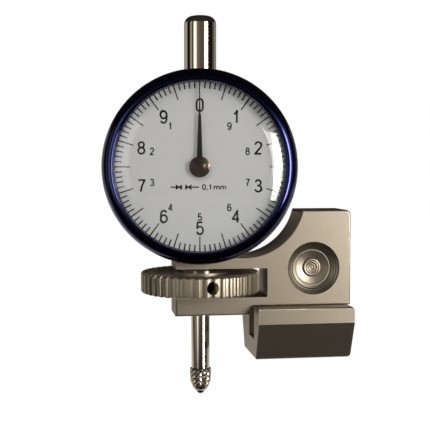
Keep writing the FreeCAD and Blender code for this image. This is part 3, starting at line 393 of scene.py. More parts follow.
def makeMetal(name, s):
    # bare or plated metal: colour, roughness range, a grain of a real size, softer and lighter edges
    material, tree = newTree(name)
    place = addNode(tree, "ShaderNodeTexCoord").outputs["Object"]
    stretch = addNode(tree, "ShaderNodeMapping", {"Scale": s.get("stretch", (1, 1, 1))}, {"Vector": place})
    grain = addNode(tree, "ShaderNodeTexNoise",
                    {"Scale": 1 / (s["grain"] * mm), "Detail": 3.0, "Roughness": 0.6},
                    {"Vector": stretch.outputs[0]})
    cloud = addNode(tree, "ShaderNodeTexNoise", {"Scale": 1 / (6.0 * mm), "Detail": 2.0}, {"Vector": place})
    tone = addNode(tree, "ShaderNodeMix", {"data_type": "RGBA", 6: linear(s["dark"]), 7: linear(s["colour"])},
                   {0: (grain if "mottled" in s else cloud).outputs["Fac"]})
    colour = tone.outputs[2]
    smoothest, roughest = s["rough"]
    rough = addNode(tree, "ShaderNodeMapRange",
                    {"From Min": 0.3, "From Max": 0.7, "To Min": smoothest, "To Max": roughest},
                    {"Value": grain.outputs["Fac"]})
    bump = addNode(tree, "ShaderNodeBump", {"Strength": 0.5, "Distance": s["height"] * mm},
                   {"Height": grain.outputs["Fac"]})
    if "rings" in s:
        # the tool's rings, by their distance from the middle of the dish
        x, z = s["rings"]
        middle = addNode(tree, "ShaderNodeVectorMath", {"operation": "SUBTRACT", 1: (x * mm, 0, z * mm)},
                         {0: place})
        level = addNode(tree, "ShaderNodeVectorMath", {"operation": "MULTIPLY", 1: (1, 0, 1)},
                        {0: middle.outputs[0]})
        reach = addNode(tree, "ShaderNodeVectorMath", {"operation": "LENGTH"}, {0: level.outputs[0]})
        turns = addNode(tree, "ShaderNodeMath",
                        {"operation": "MULTIPLY", 1: 2 * math.pi / (s["ringPitch"] * mm)},
                        {0: reach.outputs["Value"]})
        wave = addNode(tree, "ShaderNodeMath", {"operation": "SINE"}, {0: turns.outputs[0]})
        bump = addNode(tree, "ShaderNodeBump", {"Strength": 0.6, "Distance": s["ringHeight"] * mm},
                       {"Height": wave.outputs[0], "Normal": bump.outputs[0]})
    if "edge" in s:
        # handled edges: the coating is rubbed thin and bright there
        flat = addNode(tree, "ShaderNodeNewGeometry").outputs["Normal"]
        rounded = addNode(tree, "ShaderNodeBevel", {"samples": 6, "Radius": s["edge"] * mm})
        near = addNode(tree, "ShaderNodeVectorMath", {"operation": "DOT_PRODUCT"},
                       {0: flat, 1: rounded.outputs[0]})
        worn = addNode(tree, "ShaderNodeMapRange", {"From Min": 0.995, "From Max": 0.90},
                       {"Value": near.outputs["Value"]})
        patchy = addNode(tree, "ShaderNodeMath", {"operation": "MULTIPLY"},
                         {0: worn.outputs["Result"], 1: cloud.outputs["Fac"]})
        colour = addNode(tree, "ShaderNodeMix", {"data_type": "RGBA", 7: linear(s["worn"])},
                         {0: patchy.outputs[0], 6: colour}).outputs[2]
    finishShader(tree, {"Metallic": 1.0}, {
        "Base Color": colour, "Roughness": rough.outputs["Result"], "Normal": bump.outputs[0]})
    return material


def coat(colour, dark, rough, grain, height, **more):
    # colour and its darker spots, roughness from and to, size and height of the grain in mm
    return {"colour": colour, "dark": dark, "rough": rough, "grain": grain, "height": height, **more}


metalSettings = {
    # steel, fine blasted then nickel plated: a soft warm grey with a close matt grain
    "satinNickel": coat("#B0A594", "#918677", (0.38, 0.46), 0.35, 0.035,
                        mottled=True, edge=0.35, worn="#CFC5B5"),
    # the finger dishes are turned after blasting: fine rings round their middle; their nickel colour is made
    # darker than the plate's, as painted shade in the hollow
    "dishNickelPaintedShade": coat("#968C7D", "#877D6F", (0.40, 0.48), 0.35, 0.004,
                         rings=(2.45, 21.2), ringPitch=0.55, ringHeight=0.04),
    # the wheel's nickel is turned, not blasted: a finer grain, without the mottle
    "brightNickel": coat("#B5AA9A", "#A39887", (0.42, 0.50), 0.25, 0.004),
    # ground and polished steel: mirror stripes along the tube, hair fine scratches across
    "polishedSteel": coat("#D5CCBF", "#CCC2B4", (0.05, 0.10), 0.3, 0.0008, stretch=(1, 1, 4)),
    "knurledSteel": coat("#CFC5B8", "#B5AA9C", (0.16, 0.24), 0.2, 0.002),
    "hardSteel": coat("#9A9794", "#8C8884", (0.06, 0.12), 0.3, 0.0006),
    # oiled black oxide on screws
    "blackenedSteel": coat("#2A2826", "#1E1C1B", (0.28, 0.38), 0.15, 0.002),
    "satinChrome": coat("#CFCBC4", "#C4BFB7", (0.24, 0.32), 0.2, 0.003),
    "turnedSteel": coat("#574C41", "#332A23", (0.20, 0.28), 0.2, 0.003),
    "brass": coat("#D9B66A", "#C9A35A", (0.20, 0.30), 0.2, 0.002),
    "bronze": coat("#B98A5A", "#A67A4E", (0.25, 0.35), 0.2, 0.002),
    "movementSteel": coat("#C4C0BA", "#B4AFA8", (0.15, 0.22), 0.2, 0.001),
    "springSteel": coat("#8E9096", "#7C7E86", (0.22, 0.30), 0.1, 0.001),
}
metals = {name: makeMetal(name, s) for name, s in metalSettings.items()}


def makeAnodised():
    # anodised aluminium dyed deep navy: blue metal under a clear hard skin, so its highlights go pale
    material, tree = newTree("anodisedAluminium")
    place = addNode(tree, "ShaderNodeTexCoord").outputs["Object"]
    grain = addNode(tree, "ShaderNodeTexNoise", {"Scale": 1 / (0.12 * mm), "Detail": 2.0}, {"Vector": place})
    tone = addNode(tree, "ShaderNodeMix", {"data_type": "RGBA", 6: linear("#191B48"), 7: linear("#1F2258")},
                   {0: grain.outputs["Fac"]})
    rough = addNode(tree, "ShaderNodeMapRange", {"To Min": 0.14, "To Max": 0.20},
                    {"Value": grain.outputs["Fac"]})
    finishShader(tree, {"Metallic": 1.0, "Coat Weight": 0.5, "Coat Roughness": 0.04, "Coat IOR": 1.5},
                 {"Base Color": tone.outputs[2], "Roughness": rough.outputs["Result"]})
    return material


def makeCrystal():
    # pressed acrylic, quite clear, polished on both sides
    material, tree = newTree("clearAcrylic")
    place = addNode(tree, "ShaderNodeTexCoord").outputs["Object"]
    film = addNode(tree, "ShaderNodeTexNoise", {"Scale": 1 / (4 * mm), "Detail": 2.0}, {"Vector": place})
    rough = addNode(tree, "ShaderNodeMapRange", {"To Min": 0.0, "To Max": 0.03}, {"Value": film.outputs["Fac"]})
    shader = addNode(tree, "ShaderNodeBsdfPrincipled",
                     {"Base Color": (1, 1, 1, 1), "IOR": 1.49, "Transmission Weight": 1.0},
                     {"Roughness": rough.outputs["Result"]})
    clear = addNode(tree, "ShaderNodeBsdfTransparent")
    path = addNode(tree, "ShaderNodeLightPath")
    through = addNode(tree, "ShaderNodeMath", {"operation": "MAXIMUM"},
                      {0: path.outputs["Is Shadow Ray"], 1: path.outputs["Is Diffuse Ray"]})
    mixShaders(tree, through, shader, clear)
    return material


def makePaint(name, s):
    # sprayed or printed paint, or black plastic and rubber: a faint mottle and a fine skin
    material, tree = newTree(name)
    place = addNode(tree, "ShaderNodeTexCoord").outputs["Object"]
    grain = addNode(tree, "ShaderNodeTexNoise", {"Scale": 1 / (s["grain"] * mm), "Detail": 2.0},
                    {"Vector": place})
    tone = addNode(tree, "ShaderNodeMix", {"data_type": "RGBA", 6: linear(s["dark"]), 7: linear(s["colour"])},
                   {0: grain.outputs["Fac"]})
    bump = addNode(tree, "ShaderNodeBump", {"Strength": 0.4, "Distance": s["height"] * mm},
                   {"Height": grain.outputs["Fac"]})
    rough = addNode(tree, "ShaderNodeMapRange", {"To Min": s["rough"][0], "To Max": s["rough"][1]},
                    {"Value": grain.outputs["Fac"]})
    finishShader(tree, {"IOR": 1.5}, {
        "Base Color": tone.outputs[2], "Roughness": rough.outputs["Result"], "Normal": bump.outputs[0]})
    return material


anodised = makeAnodised()
acrylic = makeCrystal()
paintSettings = {
    # silk-white lacquer on the aluminium dial
    "silkLacquer": coat("#CBCBCA", "#C7C7C6", (0.42, 0.5), 0.2, 0.001),
    "screenInk": coat("#0A0A0A", "#060606", (0.18, 0.24), 0.1, 0.001),
    "blackLacquer": coat("#0D0D0D", "#090909", (0.14, 0.20), 0.1, 0.001),
    "nitrileRubber": coat("#141414", "#0E0E0E", (0.6, 0.75), 0.15, 0.004),
}
paints = {name: makePaint(name, s) for name, s in paintSettings.items()}
print("materials made")


# Knurled wheel between the arms

wheelSettings = {
    "centre": 18.0,
    "halfHeight": 2.4,
    "radius": 13.99,
    "edgeBreak": 0.35,
    "rimInside": 11.6,
    "bossRadius": 6.2,
    "bore": 4.03,
    "recess": 0.5,
    "ribs": 45,
    "pointsPerRib": 10,
    # radius of each point across one rib, groove first
    "ribShape": [13.38, 13.38, 13.38, 13.42, 13.92, 13.99, 13.99, 13.99, 13.92, 13.42],
    "ribsBeyond": 0.5,       # outside the rim's inside: there the ribs start
    "screwHole": 1.52,
    "holeStart": 5.0,
    "holePastRim": 0.6,
    "threadPitch": 0.5,
    "threadDepth": 0.16,
}


def makeWheel():
    s = wheelSettings
    h, r, e = s["halfHeight"], s["radius"], s["edgeBreak"]
    wheel = turnPiece("ribbedWheel", [
        (s["bore"], -h), (s["bossRadius"], -h), (s["bossRadius"], s["recess"] - h),
        (s["rimInside"], s["recess"] - h), (s["rimInside"], -h), (r - e, -h, 0.08), (r, e - h, 0.12),
        (r, h - e, 0.12), (r - e, h, 0.08), (s["rimInside"], h), (s["rimInside"], h - s["recess"]),
        (s["bossRadius"], h - s["recess"]),
        (s["bossRadius"], h), (s["bore"], h)], steps=s["ribs"] * s["pointsPerRib"])
    bpy.ops.object.mode_set(mode="EDIT")
    step = 360 / (s["ribs"] * s["pointsPerRib"])
    for radius in sorted(set(s["ribShape"])):
        if radius == r:
            continue
        chosen = [i for i, value in enumerate(s["ribShape"]) if value == radius]
        pickPoints(lambda co: math.hypot(co.x, co.y) > s["rimInside"] + s["ribsBeyond"]
                   and round(math.degrees(math.atan2(co.y, co.x)) / step) % s["pointsPerRib"] in chosen)
        bpy.ops.transform.resize(value=(radius / r, radius / r, 1), center_override=(0, 0, 0))
    bpy.ops.object.mode_set(mode="OBJECT")
    # the screw's threaded hole, from the rim inwards
    low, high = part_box("wheel_set_screw")
    screw = (Vector(low) + Vector(high)) / 2 - dialCentre
    side = math.atan2(screw.y, screw.x) - headTurn
    inner, outer = s["holeStart"], r + s["holePastRim"]
    profile = [(0, inner)]
    for i in range(int((outer - inner) / s["threadPitch"])):
        start = inner + i * s["threadPitch"]
        profile += [(s["screwHole"] - s["threadDepth"], start), (s["screwHole"], start + s["threadPitch"] / 2)]
    profile += [(s["screwHole"], outer), (0, outer)]
    cutter = turnPiece("threadCutter", profile, steps=32, closed=False)
    cutter.matrix_world = Matrix.Rotation(side, 4, "Z") @ Matrix.Rotation(math.radians(90), 4, "Y")
    bpy.context.view_layer.update()
    cutWith(wheel, cutter)
    lift = headPlace @ Matrix.Translation((0, 0, s["centre"] * mm))
    setPiece(wheel, "head", metals["brightNickel"], ["knurled_wheel"], lift, smooth=25,
             weighted=False)


makeWheel()
print("wheel made")


# Contact point with its diamond knurl, and the hard tip

contactSettings = {
    "top": -2.59,
    "studTop": 1.91,
    "studRadius": 1.2,
    "shoulder": 2.3,
    "gripRadius": 2.58,
    "gripStart": -2.85,
    "gripEnd": -6.9,
    # radius and height down the grip, over the nose and into the pocket of the hard tip
    "grip": [(2.58, -2.85), (2.57, -3.6), (2.53, -4.6), (2.42, -5.74), (2.30, -6.10), (2.15, -6.48),
             (1.95, -6.9)],
    "diamonds": 14,
    "pointsPerDiamond": 8,
    "grooveDepth": 0.22,
    "knurlInside": 1.6,      # nothing nearer the middle is knurled
    "nose": [(1.66, -7.42), (1.33, -7.84)],
    "pocket": [(1.03, -7.84), (0.95, -7.3), (0.6, -6.9), (0, -6.8)],
    "ballRadius": 1.0,
    "ballHeight": -7.84,
    "ballSteps": 24,
}


def makeContactPoint():
    s = contactSettings
    steps = s["diamonds"] * s["pointsPerDiamond"]
    spacing = 2 * math.pi * s["gripRadius"] / steps
    rows = round((s["gripStart"] - s["gripEnd"]) / spacing)
    grip = []
    for i in range(rows + 1):
        height = s["gripStart"] + (s["gripEnd"] - s["gripStart"]) * i / rows
        for (r0, z0), (r1, z1) in zip(s["grip"], s["grip"][1:]):
            if z1 - 1e-6 <= height <= z0 + 1e-6:
                radius = r0 + (r1 - r0) * (z0 - height) / (z0 - z1)
        grip.append((radius, height))
    stud = [(0, s["studTop"]), (s["studRadius"], s["studTop"]), (s["studRadius"], s["top"]),
            (s["shoulder"], s["top"])]
    point = turnPiece("contactHolder", stud + grip + s["nose"] + s["pocket"], steps=steps, closed=False)
    bpy.ops.object.mode_set(mode="EDIT")
    count = s["pointsPerDiamond"]

    def levelOf(co):
        # 0 in the bottom of a groove, count / 2 on the tip of a diamond, None off the grip
        if not s["gripEnd"] - 0.02 <= co.z <= s["gripStart"] + 0.02:
            return None
        if math.hypot(co.x, co.y) < s["knurlInside"]:
            return None
        column = round(math.degrees(math.atan2(co.y, co.x)) / 360 * steps)
        row = round((s["gripStart"] - co.z) / (s["gripStart"] - s["gripEnd"]) * rows)
        return min(min(value % count, -value % count) for value in (column + row, column - row))

    places = {}
    mesh = bmesh.from_edit_mesh(point.data)
    for vert in mesh.verts:
        places[tuple(round(c, 4) for c in vert.co / mm)] = levelOf(vert.co / mm)
    for level in range(count // 2):
        deeper = 1 - s["grooveDepth"] * (1 - 2 * level / count) / s["gripRadius"]
        pickPoints(lambda co: places.get(tuple(round(c, 4) for c in co)) == level)
        bpy.ops.transform.resize(value=(deeper, deeper, 1), center_override=(0, 0, 0))
    bpy.ops.object.mode_set(mode="OBJECT")
    setPiece(point, "spindle", metals["knurledSteel"], ["contact_point"], headPlace,
             smooth=12, weighted=False)

    ball = []
    for i in range(s["ballSteps"] + 1):
        angle = math.pi * i / s["ballSteps"]
        ball.append((s["ballRadius"] * math.sin(angle), s["ballHeight"] + s["ballRadius"] * math.cos(angle)))
    ball[0], ball[-1] = (0, ball[0][1]), (0, ball[-1][1])
    tip = turnPiece("hardTip", ball, steps=48, closed=False)
    setPiece(tip, "spindle", metals["hardSteel"], ["contact_ball"], headPlace, weighted=False)


makeContactPoint()
print("contact point made")


# Bezel: a rounded navy ring with a fine straight knurl on its widest band

bezelSettings = {
    "bore": 19.9,
    "opening": 18.9,
    "skirt": 20.8,
    "wide": 21.94,
    "front": 12.8,
    "back": 5.7,
    "skirtFront": 6.9,
    "lipBack": 11.7,
    "chamfer": 0.80,
    # the widest band: how far inside the widest radius, height
    "band": [(0.15, 7.8), (0, 7.95), (0, 9.65), (0.12, 9.8)],
    # the round lip at the opening: radius, how far under the front
    "lip": [(19.12, 0.34), (19.30, 0.10), (19.50, 0)],
    # the front from there outwards: radius from and to, slope from and to in degrees
    "frontSlopes": [(19.50, 19.75, 6, 8), (19.75, 20.25, 8, 27), (20.25, 20.60, 27, 28),
                    (20.60, 20.90, 28, 42), (20.90, 21.90, 42, 87)],
    "slopeSteps": 6,
    "ridges": 180,
    "knurlDepth": 0.10,
}


def makeBezel():
    s = bezelSettings
    profile = [(s["bore"], s["back"], 0.1), (s["skirt"], s["back"], 0.2), (s["skirt"], s["skirtFront"])]
    profile += [(s["wide"] - inside, height) for inside, height in s["band"]]
    slope = [(radius, s["front"] - under) for radius, under in s["lip"]]
    height, steps = s["front"], s["slopeSteps"]
    for start, end, flatter, steeper in s["frontSlopes"]:
        first, last = math.sin(math.radians(flatter)), math.sin(math.radians(steeper))
        for i in range(steps):
            turn = math.asin(first + (last - first) * (i + 0.5) / steps)
            height -= (end - start) / steps * math.tan(turn)
            slope.append((start + (end - start) * (i + 1) / steps, height))
    print("bezel round ends at", round(height, 3))
    profile += slope[::-1]
    profile += [(s["opening"], s["front"] - s["chamfer"]), (s["opening"], s["lipBack"]),
                (s["bore"], s["lipBack"])]
    ring = turnPiece("bezelRim", profile, steps=s["ridges"] * 2)
    bpy.ops.object.mode_set(mode="EDIT")
    step = 180 / s["ridges"]
    pickPoints(lambda co: math.hypot(co.x, co.y) > s["wide"] - 0.02
               and round(math.degrees(math.atan2(co.y, co.x)) / step) % 2 == 1)
    inward = 1 - s["knurlDepth"] / s["wide"]
    bpy.ops.transform.resize(value=(inward, inward, 1), center_override=(0, 0, 0))
    bpy.ops.object.mode_set(mode="OBJECT")
    setPiece(ring, "bezel", anodised, ["bezel_ring"], dialPlace, smooth=40, weighted=False)


makeBezel()
print("bezel made")


# Crystal: flat in the middle, rolled down to its rim

crystalSettings = {
    "rimRadius": 19.8,
    "rimFront": 11.4,
    "thickness": 1.0,
    # its slope in degrees at each radius
    "slopes": [(14.4, 0), (16.2, 16.2), (17.6, 18.0), (18.4, 19.5), (18.8, 22.0)],
    "slopeStep": 0.1,
    "edgeStep": 0.25,        # the rolled edge stands up this much over the rim
    "edgeSink": 0.05,
    "seat": (18.81, 0.06),   # the foot of that step: radius, how far under the rim's front
    "rimSink": 0.1,
    "innerShift": 0.3,       # the inner side rolls down this much further out
}


def makeCrystalPiece():
    s = crystalSettings
    flat = s["slopes"][0][0]
    front, height, step = [], s["rimFront"] - s["edgeSink"] + s["edgeStep"], s["slopeStep"]
    for (r0, slope0), (r1, slope1) in reversed(list(zip(s["slopes"], s["slopes"][1:]))):
        count = round((r1 - r0) / step)
        for i in reversed(range(count)):
            front.insert(0, (r0 + step * (i + 1), height))
            height += step * math.tan(math.radians(slope0 + (slope1 - slope0) * (i + 0.5) / count))
    seat, under = s["seat"]
    front = [(0, height), (flat / 2, height), (flat, height)] + front + [(seat, s["rimFront"] - under)]
    print("crystal top height", round(height, 3))
    rim = [(s["rimRadius"], s["rimFront"] - s["rimSink"]), (s["rimRadius"], s["rimFront"] - s["thickness"])]
    back = [(r + (s["innerShift"] if r > flat else 0), h - s["thickness"]) for r, h in front[:-1]]
    crystal = turnPiece("acrylicCrystal", front + rim + back[::-1], steps=160, closed=False)
    # the small angle keeps the step's edges sharp
    setPiece(crystal, "bezel", acrylic, ["crystal"], dialPlace, smooth=12, weighted=False)


makeCrystalPiece()
print("crystal made")


# Dial: lacquered disc with its printed scale

dialSettings = {
    "face": 8.1,
    "thickness": 0.4,
    "radius": 19.7,
    "hole": 1.7,
    "printThickness": 0.015,
    "tickOuter": 19.35,
    "tickInner": 17.5,
    "longTickInner": 15.6,
    "tickWidth": 0.30,
    "longTickWidth": 0.25,
    "numeralHeight": 3.05,
    "numeralCircle": 13.8,
    "numeralStroke": 0.43,
    "smallHeight": 1.75,
    "smallCircle": 11.3,
    "smallStroke": 0.29,
    "numeralWidth": 0.6,      # of a numeral's height
    # the line of arrows and words: its height over the centre, then each mark's place along it
    "lineHeight": -4.55,
    "lineStroke": 0.24,
    "shafts": ((-6.58, -5.5), (-1.75, -0.18)),
    "shaftThickness": 0.30,
    "arrowPairs": (-4.72, -2.58),
    "arrowWidth": 0.94,
    "arrowPlace": 0.26,       # less than half the width: the tips of a pair run into each other
    "arrowHeight": 1.3,
    "words": (("0", 0.96, 0.9), (".", 1.68, 0.5), ("1", 2.34, 0.8), ("m", 3.80, 1.38), ("m", 5.27, 1.38)),
    "wordHeight": 1.3,
}

penSettings = {
    "arcStep": 18,            # degrees
    "shortestStep": 0.02,
    "sharpCorner": 0.7,       # cosine of the turn
    "overlap": 0.4,           # of the stroke, at a sharp corner
}

# the printed signs as pen strokes in a box one high and one wide, middle at 0: points, and arcs
# as centre, half width, half height, from and to in degrees
signStrokes = {
    "0": [[(0, 0.70, 0.5, 0.30, 0, 180), (0, 0.30, 0.5, 0.30, 180, 360), (0.5, 0.70)]],
    "1": [[(0.14, 0), (0.14, 1), (-0.02, 0.84), (-0.32, 0.74)]],
    "2": [[(0, 0.72, 0.47, 0.28, 172, -28), (-0.5, 0.0), (0.5, 0.0)]],
    "3": [[(0, 0.76, 0.42, 0.24, 165, -90), (0, 0.265, 0.5, 0.265, 90, -165)]],
    "4": [[(0.24, 0), (0.24, 1), (-0.5, 0.27), (0.5, 0.27)]],
    "5": [[(0.42, 1), (-0.36, 1), (-0.45, 0.50), (0, 0.32, 0.5, 0.32, 130, -160)]],
    "6": [[(0, 0.70, 0.47, 0.30, 25, 180), (-0.5, 0.31), (0, 0.31, 0.5, 0.31, 180, 540)]],
    "7": [[(-0.5, 1), (0.5, 1), (0.1, 0.52), (-0.14, 0)]],
    "8": [[(0, 0.765, 0.42, 0.235, -90, 270)], [(0, 0.265, 0.5, 0.265, 90, 450)]],
    "9": [[(0, 0.30, 0.47, 0.30, 205, 360), (0.5, 0.69), (0, 0.69, 0.5, 0.31, 0, 360)]],
    ".": [[(-0.5, 0.02), (0.5, 0.02)]],
    "m": [[(-0.5, 0), (-0.5, 0.70)], [(-0.25, 0.45, 0.25, 0.22, 180, 0), (0, 0)],
          [(0.25, 0.45, 0.25, 0.22, 180, 0), (0.5, 0)]],
}


def printTicks(name, inner, width, count):
    s = dialSettings
    clearSelection()
    bpy.ops.mesh.primitive_plane_add(size=1, location=(0, (inner + s["tickOuter"]) / 2 * mm, s["face"] * mm))
    tick = bpy.context.object
    tick.name = name
    bpy.ops.object.mode_set(mode="EDIT")
    bpy.ops.transform.resize(value=(width * mm, (s["tickOuter"] - inner) * mm, 1))
    bpy.ops.mesh.extrude_region_move(TRANSFORM_OT_translate={"value": (0, 0, s["printThickness"] * mm)})
    bpy.ops.mesh.select_all(action="SELECT")
    bpy.ops.mesh.spin(steps=count - 1, angle=2 * math.pi * (count - 1) / count, center=(0, 0, 0),
                      axis=(0, 0, 1), dupli=True)
    bpy.ops.object.mode_set(mode="OBJECT")
    return tick


def printSign(sign, height, width, stroke, place):
    # one sign drawn with a pen of the stroke's width
    s, pen = dialSettings, penSettings
    clearSelection()
    bpy.ops.mesh.primitive_plane_add(size=mm)
    drawn = bpy.context.object
    drawn.name = "sign"
    bpy.ops.object.mode_set(mode="EDIT")
    bpy.ops.mesh.select_all(action="SELECT")
    bpy.ops.mesh.delete(type="VERT")
    for path in signStrokes[sign]:
        points = []
        for item in path:
            if len(item) == 2:
                points.append(item)
                continue
            x, y, rx, ry, start, end = item
            count = max(2, round(abs(end - start) / pen["arcStep"]))
            for i in range(count + 1):
                angle = math.radians(start + (end - start) * i / count)
                points.append((x + rx * math.cos(angle), y + ry * math.sin(angle)))
        points = [Vector(((width - stroke) * x, (height - stroke) * (y - 0.5), 0)) * mm for x, y in points]
        shortest = pen["shortestStep"] * mm
        points = points[:1] + [b for a, b in zip(points, points[1:]) if (b - a).length > shortest]
        # a pen lifted at each sharp corner, and set down again a little beyond it
        parts = [points[:1]]
        for before, here, after in zip(points, points[1:], points[2:]):
            way, onward = (here - before).normalized(), (after - here).normalized()
            if way.dot(onward) < pen["sharpCorner"]:
                parts[-1].append(here + way * pen["overlap"] * stroke * mm)
                parts.append([here - onward * pen["overlap"] * stroke * mm])
            else:
                parts[-1].append(here)
        parts[-1].append(points[-1])
        for part in parts:
            bpy.ops.mesh.select_all(action="DESELECT")
            bpy.ops.mesh.primitive_plane_add(size=mm)
            bpy.ops.mesh.merge(type="CENTER")
            bpy.ops.transform.translate(value=part[0])
            for before, after in zip(part, part[1:]):
                bpy.ops.mesh.extrude_region_move(TRANSFORM_OT_translate={"value": after - before})
        bpy.ops.mesh.select_all(action="SELECT")
        bpy.ops.mesh.remove_doubles(threshold=0.01 * mm)
    bpy.ops.object.mode_set(mode="OBJECT")
    bpy.ops.object.convert(target="CURVE")
    drawn = bpy.context.object
    drawn.data.bevel_depth = stroke / 2 * mm
    drawn.data.bevel_resolution = 2
    drawn.data.use_fill_caps = True
    bpy.ops.object.convert(target="MESH")
    drawn = bpy.context.object
    flat = Matrix.Diagonal((1, 1, s["printThickness"] / stroke, 1))
    spot = Matrix.Translation((place[0] * mm, place[1] * mm, (s["face"] + s["printThickness"] / 2) * mm))
    drawn.matrix_world = spot @ flat
    bpy.ops.object.transform_apply(location=True, rotation=True, scale=True)
    return drawn


def printShape(name, corners, size, place, turn=0.0):
    # a flat printed shape with three or four corners
    s = dialSettings
    clearSelection()
    bpy.ops.mesh.primitive_circle_add(vertices=corners, radius=1, fill_type="NGON")
    shape = bpy.context.object
    shape.name = name
    bpy.ops.object.mode_set(mode="EDIT")
    bpy.ops.mesh.extrude_region_move(TRANSFORM_OT_translate={"value": (0, 0, 1)})
    bpy.ops.object.mode_set(mode="OBJECT")
    # turned first and sized after that, each on its own, so that nothing is sheared
    shape.matrix_world = Matrix.Rotation(math.radians(turn), 4, "Z")
    bpy.ops.object.transform_apply(location=True, rotation=True, scale=True)
    points = [v.co.copy() for v in shape.data.vertices]
    low = [min(p[i] for p in points) for i in range(2)]
    high = [max(p[i] for p in points) for i in range(2)]
    wide, tall = (size[i] * mm / (high[i] - low[i]) for i in range(2))
    scale = Matrix.Diagonal((wide, tall, s["printThickness"] * mm, 1))
    middle = Matrix.Translation((-(low[0] + high[0]) / 2, -(low[1] + high[1]) / 2, 0))
    spot = Matrix.Translation((place[0] * mm, place[1] * mm, s["face"] * mm))
    shape.matrix_world = spot @ scale @ middle
    bpy.ops.object.transform_apply(location=True, rotation=True, scale=True)
    return shape


def makeDial():
    s = dialSettings
    back = s["face"] - s["thickness"]
    disc = turnPiece("dialDisc", [(s["hole"], back), (s["radius"], back, 0.05),
                                  (s["radius"], s["face"], 0.05), (s["hole"], s["face"])], steps=160)
    setPiece(disc, "bezel", paints["silkLacquer"], ["dial_face"], dialPlace)

    marks = [printTicks("ticks", s["tickInner"], s["tickWidth"], 100),
             printTicks("longTicks", s["longTickInner"], s["longTickWidth"], 20)]
    for i in range(10):
        angle = math.radians(36 * i)
        # the outer row counts up, and the small inner one down
        for sign, row in ((i, "numeral"), (10 - i, "small")) if i else ((i, "numeral"),):
            circle, height = s[row + "Circle"], s[row + "Height"]
            place = (circle * math.sin(angle), circle * math.cos(angle))
            marks.append(printSign(str(sign), height, s["numeralWidth"] * height, s[row + "Stroke"], place))
    line = s["lineHeight"]
    for start, end in s["shafts"]:
        marks.append(printShape("shaft", 4, (end - start, s["shaftThickness"]), ((start + end) / 2, line), 45))
    for middle in s["arrowPairs"]:
        for side, turn in ((-1, -90), (1, 90)):
            centre = middle + side * s["arrowPlace"]
            marks.append(printShape("arrow", 3, (s["arrowWidth"], s["arrowHeight"]), (centre, line), turn))
    for sign, middle, width in s["words"]:
        marks.append(printSign(sign, s["wordHeight"], width, s["lineStroke"], (middle, line)))
    selectOnly(*marks)
    bpy.ops.object.join()
    scale = bpy.context.object
    scale.name = "dialScale"
    setPiece(scale, "bezel", paints["screenInk"], (), dialPlace, weighted=False)


makeDial()
print("dial printed")


# Turned faces of the two finger dishes, laid over the plate's own

dishSettings = {
    "centre": (2.45, 21.2),
    "face": 5.25,
    "radius": 6.2,
    "depth": 2.4,
    "proud": 0.03,
    "step": (4.5, 4.1, 0.12),  # outer and inner radius, how much deeper inside it
    "pip": (2.0, 0.3),         # radius, height
    "mark": (1.3, 0.25),       # radius, depth of the hollow in the pip
    "softEdge": 0.02,
    "thickness": 0.15,
}


def makeDishes():
    s = dishSettings
    ball = (s["radius"] ** 2 + s["depth"] ** 2) / (2 * s["depth"])

    def depthAt(radius):
        return math.sqrt(ball ** 2 - radius ** 2) - (ball - s["depth"])

    outer, inner, deeper = s["step"]
    pip, rise = s["pip"]
    mark, hollow = s["mark"]
    floor = depthAt(inner) + deeper
    soft = s["softEdge"]
    radii = [s["radius"] - i * (s["radius"] - outer) / 8 for i in range(9)]
    face = [(radius, depthAt(radius)) for radius in radii]
    face += [(outer - soft, floor), (inner, floor)]
    for i in range(1, 13):
        radius = inner + (pip - inner) * i / 12
        face.append((radius, depthAt(radius) + deeper * (1 - i / 12)))
    top = depthAt(pip) - rise
    # the pip's wall stands clear of the plate's own pip
    face[-1] = (pip + 3 * soft, face[-1][1])
    face += [(pip + 3 * soft, top + 2 * soft), (pip + soft, top - soft), (mark + 2 * soft, top - soft),
             (mark, top + soft), (0, top + hollow)]
    front = [(r, s["proud"] - d) for r, d in face]
    behind = [(r, h - s["thickness"]) for r, h in front[::-1]]
    for side, turn in ((-1, 90), (1, -90)):
        piece = turnPiece("turnedDish", front + behind, closed=False)
        place = Matrix.Translation((s["centre"][0] * mm, side * s["face"] * mm, s["centre"][1] * mm))
        place = place @ Matrix.Rotation(math.radians(turn), 4, "X")
        # the dish nickel's darker colour is painted shade in the hollow
        setPiece(piece, "frame", metals["dishNickelPaintedShade"], (), place, smooth=30, weighted=False)


makeDishes()
print("dishes made")


# Pointer and its hub

pointerSettings = {
    "back": 9.4,
    "thickness": 0.2,
    # half widths along the blade: (distance from the centre, half width)
    "blade": [(-1.2, 0.62), (1.6, 0.66), (11.4, 0.34), (12.0, 0.18), (17.6, 0.15), (18.2, 0.05)],
    "tail": 0.2,             # length of the first strip, behind that
    "softEdge": 0.04,
    "boss": [(0, 9.18), (1.5, 9.18, 0.03), (1.5, 9.6, 0.03), (0, 9.6)],
    "hub": [(0, 9.95), (0.22, 9.95), (0.26, 10.10), (0.6, 10.09), (0.95, 10.06), (0.99, 10.03),
            (1.03, 10.05), (1.4, 10.0), (1.44, 9.97), (1.48, 9.98), (1.9, 9.89), (2.2, 9.81),
            (2.34, 9.74), (2.34, 9.6), (0, 9.6)],
}


